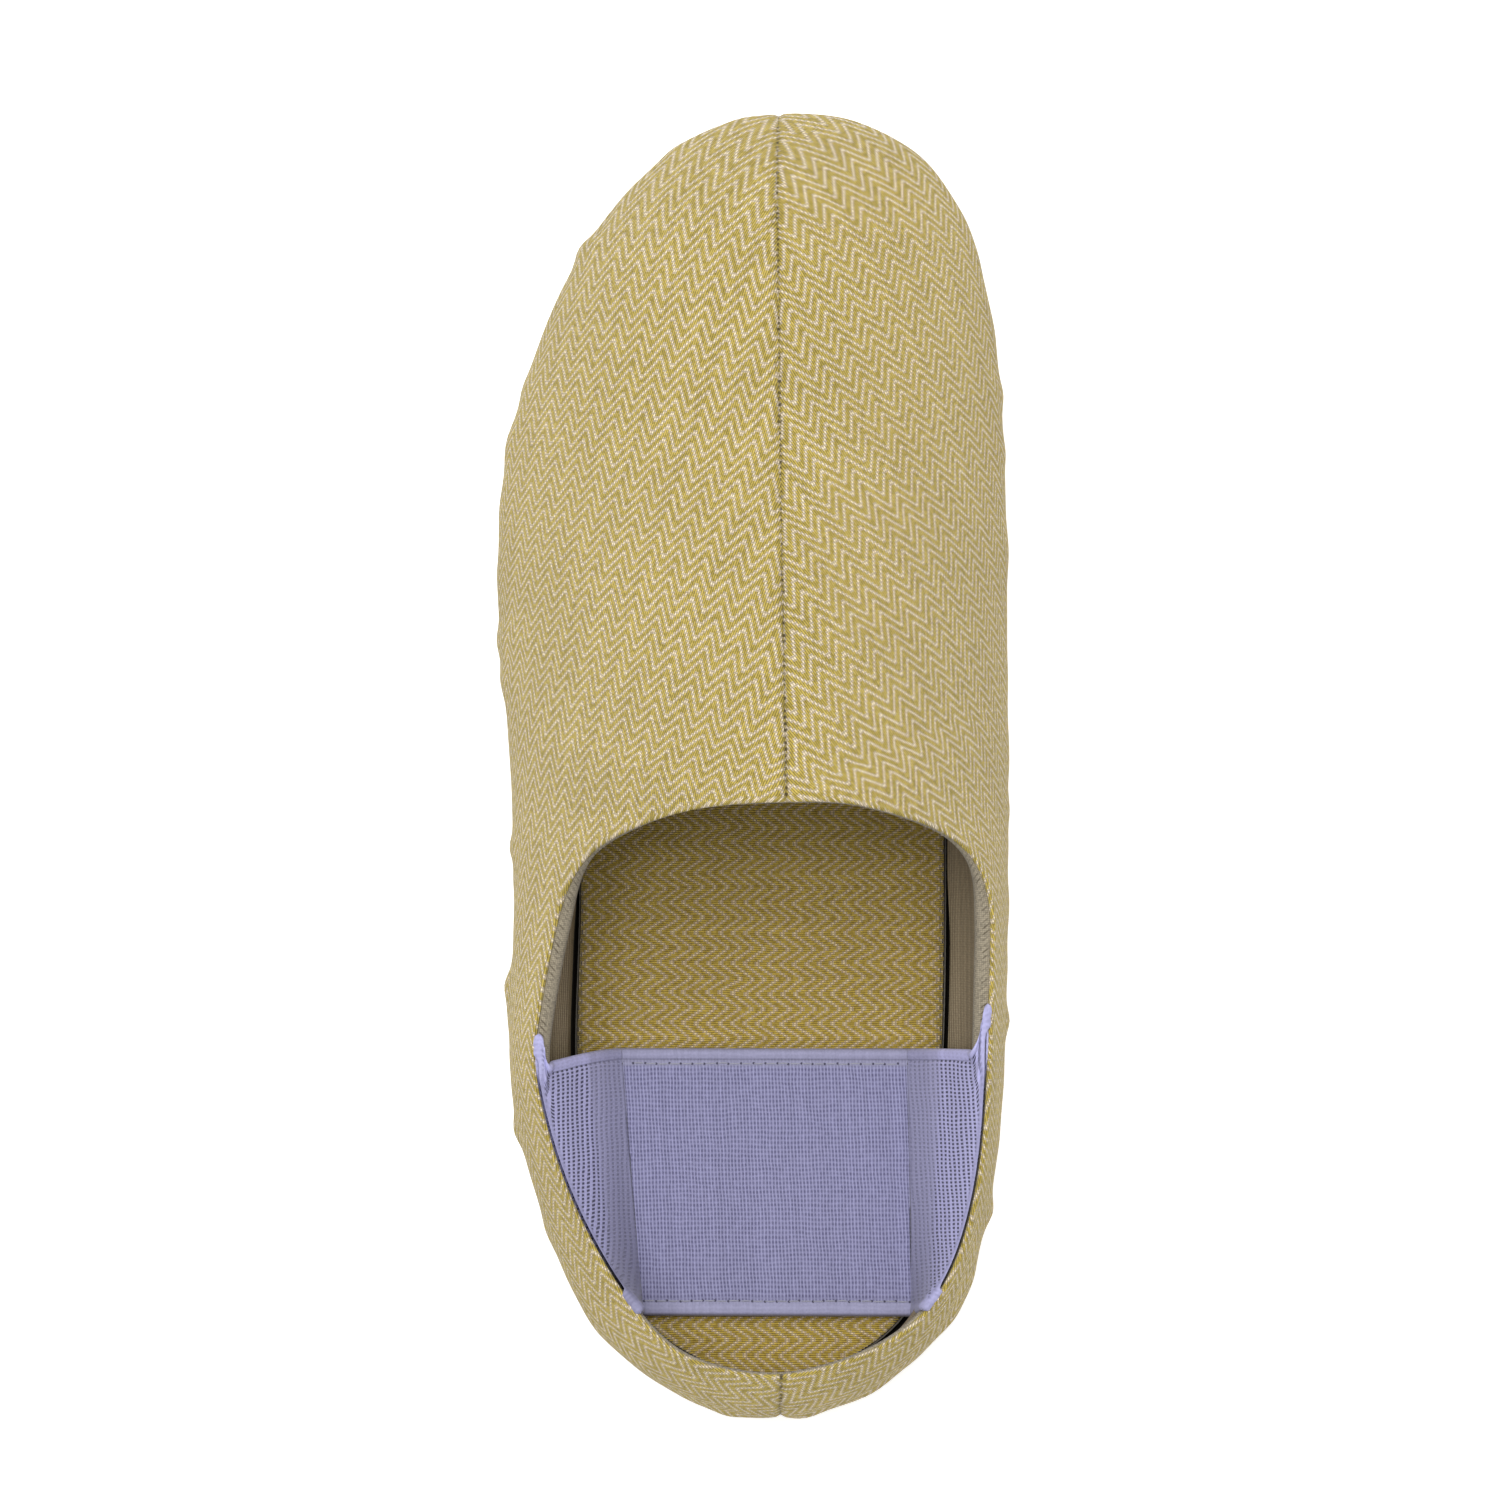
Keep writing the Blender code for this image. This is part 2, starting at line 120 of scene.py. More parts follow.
# Collar edge in the same order, with its height as a share of THROAT_HEIGHT.
COLLAR = (
    # across, along, height
    (0.066, 0.030, 0.473),
    (-0.056, 0.035, 0.474),
    (-0.130, 0.046, 0.475),
    (-0.218, 0.078, 0.480),
    (-0.293, 0.122, 0.487),
    (-0.358, 0.175, 0.504),
    (-0.403, 0.233, 0.527),
    (-0.416, 0.272, 0.550),
    (-0.407, 0.302, 0.570),
    (-0.375, 0.365, 0.613),
    (-0.341, 0.403, 0.663),
    (-0.294, 0.425, 0.735),
    (-0.216, 0.441, 0.812),
    (-0.100, 0.453, 0.925),
    (0.085, 0.458, 1.000),
    (0.200, 0.4575, 0.968),
    (0.299, 0.450, 0.885),
    (0.385, 0.438, 0.780),
    (0.445, 0.417, 0.693),
    (0.473, 0.385, 0.635),
    (0.475, 0.345, 0.600),
    (0.471, 0.284, 0.560),
    (0.462, 0.215, 0.520),
    (0.430, 0.143, 0.493),
    (0.360, 0.085, 0.480),
    (0.260, 0.053, 0.476),
    (0.160, 0.037, 0.474),
)
COLLAR_THROAT_ROW = 14

# Top line of the vamp along the centre seam, from the throat to the top of the toe.
RIDGE = (
    # along, across, height
    (0.458, 0.085, 1.000),
    (0.574, 0.078, 0.942),
    (0.650, 0.072, 0.876),
    (0.730, 0.066, 0.780),
    (0.810, 0.061, 0.687),
    (0.890, 0.056, 0.590),
    (0.945, 0.051, 0.490),
)

# How each upright line of the wall runs: where it starts on a side's outline, where it
# ends on the top line (0 to 1 the collar, 1 to 2 the ridge), how far its arc turns
# inwards, in degrees, and the power of its curve (2 is an ellipse, less is more pointed).
WALL_LINES = (
    # outline, top, turn, power
    (0.000, 0.000, 50.0, 2.00),
    (0.182, 0.274, 42.0, 2.00),
    (0.300, 0.488, 36.0, 2.00),
    (0.379, 0.645, 36.0, 1.92),
    (0.433, 0.753, 42.0, 1.82),
    (0.468, 0.817, 52.0, 1.76),
    (0.506, 0.908, 70.0, 1.72),
    (0.530, 1.000, 90.0, 1.70),
    (0.634, 1.345, 90.0, 1.74),
    (0.764, 1.690, 90.0, 1.84),
    (0.834, 1.845, 90.0, 1.92),
    (0.895, 1.920, 90.0, 2.00),
    (1.000, 2.000, 90.0, 2.00),
)
THROAT_LINE = 7

# Mesh density
COLLAR_LINES = 150
VAMP_LINES = 130
UNDER_ROWS = 7
OVER_ROWS = 44
ROWS_CROWD = 1.6
SEAM_LINES = (0.0008, 0.0018, 0.003)
WELD = 0.00003
WEB_WELD = 0.000005
FLAT_LINES = 30
UNROLL_STEPS = 200
PATH_STEPS = 400

# Colours of seams and threads
SEAM_DARK = (0.070, 0.052, 0.020)
# Dark of the facing at its seam: thread colour and painted shade where the cloth goes into the seam
SEAM_THREAD_AND_SHADE = (0.060, 0.035, 0.025)
SIDE_STITCH = (0.20, 0.20, 0.23)
NEEDLE_HOLE_SHADE = (0.030, 0.028, 0.050)

# The weave: width of a thread, length of a pick, threads in half a herringbone column
WARP_MM = 0.43
PICK_MM = 0.62
COLUMN_THREADS = 7
TWILL_PICKS = 4

# Camera: where it stands, what it looks at and its lens in mm
CAMERA = (0.050, -0.0986, 1.316)
AIM = (0.0, 0.0015, 0.030)
LENS = 156.8

# Studio light
WORLD_STRENGTH = 0.56
FLOOR_GLOW = 0.45
FLOOR_HALF = 3.0
LAMP_POWER = 23
LAMP_SIZE = 1.2
LAMP_AT = (-0.10, 0.27, 1.35)

OUTER, INNER = 0, 1


def spline(rows, at, closed=False):
    """Curve with continuous curvature through the rows, read at the knots in at.

    The first value of each row is its knot. A closed curve repeats its first row last.
    """
    rows = np.array(rows, float)
    knots = rows[:, 0]
    values = rows[:, 1:]
    count = len(knots)
    step = np.diff(knots)
    rise = np.diff(values, axis=0) / step[:, None]
    matrix = np.zeros((count, count))
    right = np.zeros((count, values.shape[1]))
    for i in range(1, count - 1):
        matrix[i, i - 1 : i + 2] = step[i - 1], 2 * (step[i - 1] + step[i]), step[i]
        right[i] = 6 * (rise[i] - rise[i - 1])
    if closed:
        matrix[0, :2] = 2 * step[0], step[0]
        matrix[0, -2:] = step[-1], 2 * step[-1]
        right[0] = 6 * (rise[0] - rise[-1])
        matrix[-1, 0] = 1
        matrix[-1, -1] = -1
    else:
        matrix[0, 0] = 1
        matrix[-1, -1] = 1
    bend = np.linalg.solve(matrix, right)
    at = np.atleast_1d(np.array(at, float))
    i = np.clip(np.searchsorted(knots, at) - 1, 0, count - 2)
    h = step[i][:, None]
    b = (at - knots[i])[:, None] / h
    a = 1 - b
    straight = a * values[i] + b * values[i + 1]
    return straight + ((a**3 - a) * bend[i] + (b**3 - b) * bend[i + 1]) * h * h / 6


def smooth_step(value, low, high):
    """0 below low, 1 above high and a smooth ramp between."""
    t = np.clip((value - low) / (high - low), 0, 1)
    return t * t * (3 - 2 * t)


def unit(vectors):
    """The vectors along the last axis at length 1."""
    return vectors / np.maximum(np.linalg.norm(vectors, axis=-1, keepdims=True), 1e-12)


def half_ring(table, turn_row, side):
    """Dense path of one side of a closed outline, from the heel seam to the row turn_row.

    Each row is a point in metres, followed by the unit direction into the shoe.
    """
    sizes = (WIDTH, LENGTH, THROAT_HEIGHT)
    points = np.array(table) * np.array(sizes[: len(table[0])])
    ring = np.vstack([points, points[:1]])
    chord = np.linalg.norm(np.diff(ring[:, :2], axis=0), axis=1)
    knots = np.concatenate([[0], np.cumsum(chord)])
    rows = np.column_stack([knots, ring])
    whole = knots[-1]
    at = np.linspace(0 if side == OUTER else whole, knots[turn_row], PATH_STEPS + 1)
    step = whole / PATH_STEPS / 4
    path = spline(rows, np.mod(at, whole), closed=True)
    run = spline(rows, np.mod(at + step, whole), closed=True)
    run = (run - spline(rows, np.mod(at - step, whole), closed=True))[:, :2]
    run = unit(run)
    return np.column_stack([path, run[:, 1], -run[:, 0]])


def at_share(path, share):
    """Rows of a dense path at shares of its length seen from above."""
    chord = np.linalg.norm(np.diff(path[:, :2], axis=0), axis=1)
    knots = np.concatenate([[0], np.cumsum(chord)]) / chord.sum()
    return np.column_stack([np.interp(share, knots, column) for column in path.T])


def lift(y):
    """Height of the sole's underside above the floor: arch and toe spring."""
    along = np.asarray(y) / LENGTH
    arch = smooth_step(along, *ARCH_RISES) * (1 - smooth_step(along, *ARCH_FALLS))
    toe = np.clip((along - TOE_RISES) / (1 - TOE_RISES), 0, 1) ** 2
    return ARCH_RISE * arch + TOE_SPRING * toe


def tuck(y):
    """How far the wall turns in under its widest line."""
    along = np.asarray(y) / LENGTH
    sides = HEEL_TUCK + (SIDE_TUCK - HEEL_TUCK) * smooth_step(along, *SIDE_TUCK_GROWS)
    return sides + (TOE_TUCK - SIDE_TUCK) * smooth_step(along, *TOE_TUCK_GROWS)


def bulge(y):
    """Height of the upper's widest line above the floor."""
    along = np.asarray(y) / LENGTH
    sides = BULGE_HEEL + (BULGE_SIDE - BULGE_HEEL) * smooth_step(along, *SIDE_BULGE_GROWS)
    toe = (BULGE_TOE - BULGE_SIDE) * smooth_step(along, *TOE_BULGE_GROWS)
    return sides + toe + lift(y)


def ridge(share):
    """Points on the ridge and its slope, at shares of its run from throat to toe."""
    start = RIDGE[0][0]
    end = RIDGE[-1][0]
    along = start + (end - start) * np.asarray(share)
    read = spline(RIDGE, along)
    step = (end - start) / PATH_STEPS
    rise = (spline(RIDGE, along + step) - spline(RIDGE, along - step))[:, 1]
    points = np.column_stack([read[:, 0] * WIDTH, along * LENGTH, read[:, 1] * THROAT_HEIGHT])
    return points, rise * THROAT_HEIGHT / (2 * step * LENGTH)


def line_shares(collar_lines, vamp_lines):
    """Shares of a side's outline where the wall's lines start, even at both their ends."""
    share = np.linspace(0, 1, PATH_STEPS + 1)
    spread = share + spline(WALL_LINES, share)[:, 0] / 2
    middle = np.interp(WALL_LINES[THROAT_LINE][0], share, spread)
    rear = np.linspace(spread[0], middle, collar_lines + 1)
    front = np.linspace(middle, spread[-1], vamp_lines + 1)[1:]
    return np.interp(np.concatenate([rear, front]), spread, share)


def wall_surface(side, share, under, over):
    """Outer surface of one half of the upper as points[line][row].

    share says where the lines start on the outline. The rows lie at the shares in under,
    from the sole's seam to below the widest line, and in over, from there to the top line.
    """
    top, turn, power = spline(WALL_LINES, share).T
    foot = at_share(half_ring(OUTLINE, OUTLINE_TOE_ROW, side), share)
    collar = at_share(half_ring(COLLAR, COLLAR_THROAT_ROW, side), np.clip(top, 0, 1))
    vamp, slope = ridge(np.clip(top - 1, 0, 1))
    head = np.where((top > 1)[:, None], vamp, collar[:, :3])
    slope = slope * smooth_step(top, *SLOPE_SETS_IN)
    base = foot[:, None, :2]
    inward = foot[:, None, 2:]
    y = foot[:, 1]
    angle = np.radians(90 * (1 - under))[None]
    spot = base + inward * (tuck(y)[:, None] * (1 - np.cos(angle)))[..., None]
    seat = OUTSOLE + GAP
    rise = (bulge(y) - lift(y) - seat)[:, None] * (1 - np.sin(angle))
    low = np.dstack([spot, seat + rise + lift(spot[..., 1])])
    last = np.radians(np.minimum(turn, 90))[:, None]
    e = 2 / power[:, None]
    angle = last * over[None]
    inwards = (1 - np.cos(angle) ** e) / (1 - np.cos(last) ** e)
    upwards = (np.sin(angle) / np.sin(last)) ** e
    spot = base + (head[:, None, :2] - base) * inwards[..., None]
    bend = slope[:, None] * (spot[..., 1] - head[:, None, 1]) * upwards
    height = bulge(y)[:, None] + (head[:, None, 2] - bulge(y)[:, None]) * upwards + bend
    return np.concatenate([low, np.dstack([spot, height])], axis=1), top


def crowded_rows():
    """Shares of the wall's height for its rows, closer together towards the top line."""
    return 1 - (1 - np.linspace(0, 1, OVER_ROWS + 1)) ** ROWS_CROWD


def normals(grid, side):
    """Unit normals of a grid of points[line][row], pointing out of the shoe."""
    along = np.gradient(grid, axis=0)
    up = np.gradient(grid, axis=1)
    normal = np.cross(up, along) if side == OUTER else np.cross(along, up)
    return unit(normal)


def rim_fullness(y):
    """1 where the padded rim is as thick as the wall, 0 at the heel and the throat."""
    along = np.asarray(y) / LENGTH
    return smooth_step(along, *RIM_GROWS) * (1 - smooth_step(along, *RIM_SHRINKS))


def grid_piece(name, grids, maps, flips):
    """Object made of grids of points, with a coordinate layer for every name in maps.

    Points of neighbouring grids that coincide are welded afterwards by weld().
    """
    points, faces = [], []
    count = 0
    for grid, flip in zip(grids, flips):
        lines, rows = grid.shape[:2]
        number = count + np.arange(lines * rows).reshape(lines, rows)
        corners = [number[:-1, :-1], number[1:, :-1], number[1:, 1:], number[:-1, 1:]]
        quad = np.stack(corners, axis=-1).reshape(-1, 4)
        faces.append(quad[:, ::-1] if flip else quad)
        points.append(grid.reshape(-1, 3))
        count += lines * rows
    points = np.vstack(points) - np.array([0, LENGTH / 2, 0])
    faces = np.vstack(faces)
    mesh = bpy.data.meshes.new(name)
    mesh.from_pydata(points.tolist(), [], faces.tolist())
    for key, layers in maps.items():
        values = np.vstack([layer.reshape(-1, 2) for layer in layers])
        mesh.uv_layers.new(name=key).uv.foreach_set("vector", values[faces.ravel()].ravel())
    mesh.shade_smooth()
    made = bpy.data.objects.new(name, mesh)
    bpy.context.scene.collection.objects.link(made)
    return made


def weld(piece, distance=WELD):
    """Joins coinciding points and drops faces that have shrunk to nothing."""
    build = bmesh.new()
    build.from_mesh(piece.data)
    bmesh.ops.remove_doubles(build, verts=build.verts[:], dist=distance)
    bmesh.ops.dissolve_degenerate(build, edges=build.edges[:], dist=distance / 10)
    build.to_mesh(piece.data)
    build.free()


def fit(piece, finish, slot, *nodes):
    """Gives a piece its material and seats it on the body in place of nodes; slot is not used."""
    piece.data.materials.append(finish)
    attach(piece, BODY)
    if nodes:
        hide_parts(*nodes)
    return piece


class Shader:
    """Principled material whose nodes are added by methods that return an output socket."""

    def __init__(self, name, roughness):
        self.material = bpy.data.materials.new(name)
        self.material.use_nodes = True
        self.tree = self.material.node_tree
        self.base = self.tree.nodes["Principled BSDF"]
        self.base.inputs["Roughness"].default_value = roughness

    def node(self, kind, settings=None, **inputs):
        """Adds a node, sets its properties and links or fills its inputs."""
        made = self.tree.nodes.new(kind)
        for key, value in (settings or {}).items():
            setattr(made, key, value)
        for key, value in inputs.items():
            self.put(made.inputs[key.replace("_", " ")], value)
        return made

    def put(self, socket, value):
        """Links an output to the socket, or sets it to a number or colour."""
        if isinstance(value, bpy.types.NodeSocket):
            self.tree.links.new(value, socket)
        elif isinstance(value, tuple) and len(value) == 3 and socket.type == "RGBA":
            socket.default_value = (*value, 1)
        else:
            socket.default_value = value

    def math(self, operation, *values):
        """Result of a Math node."""
        made = self.node("ShaderNodeMath", {"operation": operation})
        for i, value in enumerate(values):
            self.put(made.inputs[i], value)
        return made.outputs[0]

    def times(self, a, b):
        """a times b."""
        return self.math("MULTIPLY", a, b)

    def plus(self, a, b):
        """a plus b."""
        return self.math("ADD", a, b)

    def minus(self, a, b):
        """a minus b."""
        return self.math("SUBTRACT", a, b)

    def over(self, a, b):
        """a divided by b."""
        return self.math("DIVIDE", a, b)

    def most(self, a, b):
        """The larger of a and b."""
        return self.math("MAXIMUM", a, b)

    def ramp(self, value, low, high, to_low=0.0, to_high=1.0):
        """Smooth ramp of a value from low to high."""
        settings = {"interpolation_type": "SMOOTHSTEP"}
        made = self.node("ShaderNodeMapRange", settings, Value=value)
        names = ("From Min", "From Max", "To Min", "To Max")
        for key, number in zip(names, (low, high, to_low, to_high)):
            made.inputs[key].default_value = number
        return made.outputs[0]

    def mix(self, share, low, high, blend="MIX"):
        """Mix of two colours."""
        made = self.node("ShaderNodeMix", {"data_type": "RGBA", "blend_type": blend})
        self.put(made.inputs[0], share)
        self.put(made.inputs[6], low)
        self.put(made.inputs[7], high)
        return made.outputs[2]

    def noise(self, scale, detail=2.0, where=None, roughness=0.5):
        """Noise from 0 to 1 in object space, or at the place given."""
        if where is None:
            where = self.node("ShaderNodeTexCoord").outputs["Object"]
        inputs = {"Vector": where, "Scale": scale, "Detail": detail, "Roughness": roughness}
        return self.node("ShaderNodeTexNoise", **inputs).outputs[0]

    def layer(self, name="cloth_mm"):
        """The two coordinates of a layer, in millimetres."""
        place = self.node("ShaderNodeUVMap", {"uv_map": name}).outputs[0]
        apart = self.node("ShaderNodeSeparateXYZ", Vector=place)
        return apart.outputs[0], apart.outputs[1]

    def chance(self, *places):
        """Random number from 0 to 1 for every whole-number place."""
        spot = self.node("ShaderNodeCombineXYZ")
        for i, value in enumerate(places):
            self.put(spot.inputs[i], self.math("FLOOR", value))
        return self.node("ShaderNodeTexWhiteNoise", Vector=spot.outputs[0]).outputs["Value"]

    def wave(self, value, period, shift=0.0):
        """Wave from 0 to 1, with its low places at whole multiples of the period."""
        turn = self.math("MULTIPLY_ADD", value, 2 * math.pi / period, 2 * math.pi * shift)
        return self.math("MULTIPLY_ADD", self.math("COSINE", turn), -0.5, 0.5)

    def tint(self, colour, *values):
        """The colour times each of the values."""
        for value in values:
            colour = self.mix(1.0, colour, value, "MULTIPLY")
        return colour

    def finish(self, colour, height=None, distance=0.0002, strength=1.0, gloss=()):
        """Connects the colour and a bump of the given height, and sets the sockets in gloss."""
        self.put(self.base.inputs["Base Color"], colour)
        if height is not None:
            bump = self.node("ShaderNodeBump", Height=height, Distance=distance, Strength=strength)
            self.put(self.base.inputs["Normal"], bump.outputs[0])
        for key, value in dict(gloss).items():
            self.base.inputs[key].default_value = value
        return self.material


def herringbone(name, yellows, lights, seams=False):
    """Two-by-two twill that turns back every few threads, with two tones of each yarn."""
    m = Shader(name, 0.9)
    u, v = m.layer()
    u = m.plus(u, m.ramp(m.noise(75.0, 1.0), 0.2, 0.8, -0.30, 0.30))
    v = m.plus(v, m.ramp(m.noise(95.0, 1.0), 0.2, 0.8, -0.25, 0.25))
    thread = m.over(u, WARP_MM)
    pick = m.over(v, PICK_MM)
    step = m.math("PINGPONG", m.plus(m.math("FLOOR", thread), 0.5), float(COLUMN_THREADS))
    phase = m.over(m.minus(pick, step), float(TWILL_PICKS))
    wave = m.math("SINE", m.times(phase, 2 * math.pi))
    weft = m.ramp(wave, 0.00, 0.60)
    across = m.math("ABSOLUTE", m.math("SINE", m.times(thread, math.pi)))
    along = m.math("ABSOLUTE", m.math("SINE", m.times(pick, math.pi)))
    warp_height = m.times(across, m.minus(1.0, weft))
    height = m.plus(warp_height, m.times(m.times(across, along), weft))
    cell = m.chance(thread, pick)
    strand = m.ramp(m.chance(thread, 7.0), 0.0, 1.0, 0.94, 1.05)
    colour = m.mix(weft, m.mix(cell, *yellows), m.mix(cell, *lights))
    # Painted shade: the colour is darkened in the low places between the threads and along the
    # steps where warp and weft floats meet.
    crevice_shade = m.ramp(height, 0.0, 0.75, 0.45, 1.0)
    edge = m.ramp(m.math("ABSOLUTE", m.minus(weft, 0.45)), 0.0, 0.5, 0.86, 1.0)
    patchy = m.ramp(m.noise(38.0, 3.0), 0.3, 0.7, 0.965, 1.035)
    fibre = m.ramp(m.noise(2600.0, 2.0), 0.25, 0.75, 0.90, 1.10)
    colour = m.tint(colour, crevice_shade, edge, strand, patchy, fibre)
    if seams:
        away, run = m.layer("seam_mm")
        away = m.plus(away, m.ramp(m.noise(420.0, 2.0), 0.3, 0.7, -0.16, 0.16))
        line = m.ramp(away, 0.10, 0.40, 0.95, 0.0)
        dash = m.ramp(m.wave(run, 1.25), 0.25, 0.75, 0.25, 1.0)
        broken = m.ramp(m.noise(700.0, 2.0), 0.35, 0.60, 0.25, 1.0)
        dark = m.times(m.times(line, dash), broken)
        colour = m.mix(dark, colour, SEAM_DARK)
        # Painted shade: the cloth is darkened within about a millimetre of each seam, along its
        # groove.
        soft = m.ramp(away, 0.3, 1.3, 0.88, 1.0)
        colour = m.tint(colour, soft)
    gloss = {"Sheen Weight": 0.12, "Sheen Roughness": 0.45, "Specular IOR Level": 0.2}
    return m.finish(colour, height, 0.00018, 0.9, gloss)


def plain(name, colour, roughness=0.8, grain=1800.0):
    """Even finish with a fine grain."""
    m = Shader(name, roughness)
    speck = m.noise(grain, 3.0)
    dark = tuple(c * 0.8 for c in colour)
    gloss = {"Specular IOR Level": 0.25}
    return m.finish(m.mix(m.ramp(speck, 0.3, 0.7), dark, colour), speck, 0.00012, 0.6, gloss)


def facing_cloth(name, dark, light):
    """Thin plain-woven cloth with short slanting ticks, dark next to the seam from its thread and
    from painted shade where it goes into the seam.
    """
    m = Shader(name, 0.85)
    u, v = m.layer()
    slant = m.over(m.plus(u, m.times(v, 0.8)), 1.20)
    tick = m.ramp(m.wave(slant, 1.0), 0.62, 0.95)
    place = m.math("ABSOLUTE", m.minus(v, 1.7))
    tick = m.times(tick, m.ramp(place, 0.35, 0.80, 0.75, 0.12))
    tick = m.times(tick, m.ramp(m.chance(slant, 3.0), 0.0, 1.0, 0.4, 1.0))
    fine = m.wave(u, 0.40)
    cross = m.wave(v, 0.40)
    weave = m.times(m.ramp(fine, 0.0, 1.0, 0.75, 1.0), m.ramp(cross, 0.0, 1.0, 0.80, 1.0))
    speck = m.ramp(m.chance(m.over(u, 0.40), m.over(v, 0.40)), 0.0, 0.5, 0.72, 1.0)
    colour = m.mix(tick, m.tint(light, weave, speck), dark)
    colour = m.tint(colour, m.ramp(m.noise(2400.0, 2.0), 0.25, 0.75, 0.90, 1.08))
    # Dark seam thread and painted shade over the last half millimetre before the seam.
    colour = m.mix(m.ramp(v, 0.05, 0.50, 0.85, 0.0), colour, SEAM_THREAD_AND_SHADE)
    gloss = {"Sheen Weight": 0.08, "Specular IOR Level": 0.25}
    return m.finish(colour, m.plus(weave, speck), 0.00008, 0.7, gloss)


def lining_cloth(name, dark, light):
    """The same cloth on the inner wall, where its threads show as fine lines."""
    m = Shader(name, 0.85)
    u, v = m.layer()
    rib = m.wave(v, 0.72)
    cross = m.wave(u, 0.50)
    thread = m.chance(m.over(v, 0.72), 3.0)
    share = m.times(rib, m.ramp(cross, 0.0, 1.0, 0.7, 1.0))
    colour = m.mix(share, dark, light)
    colour = m.tint(colour, m.ramp(thread, 0.0, 1.0, 0.90, 1.06))
    colour = m.tint(colour, m.ramp(m.noise(1900.0, 3.0), 0.25, 0.75, 0.88, 1.10))
    colour = m.tint(colour, m.ramp(m.noise(60.0, 2.0), 0.3, 0.7, 0.95, 1.05))
    # Painted shade: the lining is darkened to near black towards its foot, in the gap beside the
    # insole.
    colour = m.tint(colour, m.ramp(v, LINING_SHADE_MM, LINING_SHADE_MM + 1.5, 0.06, 1.0))
    gloss = {"Specular IOR Level": 0.25}
    return m.finish(colour, share, 0.00010, 0.7, gloss)


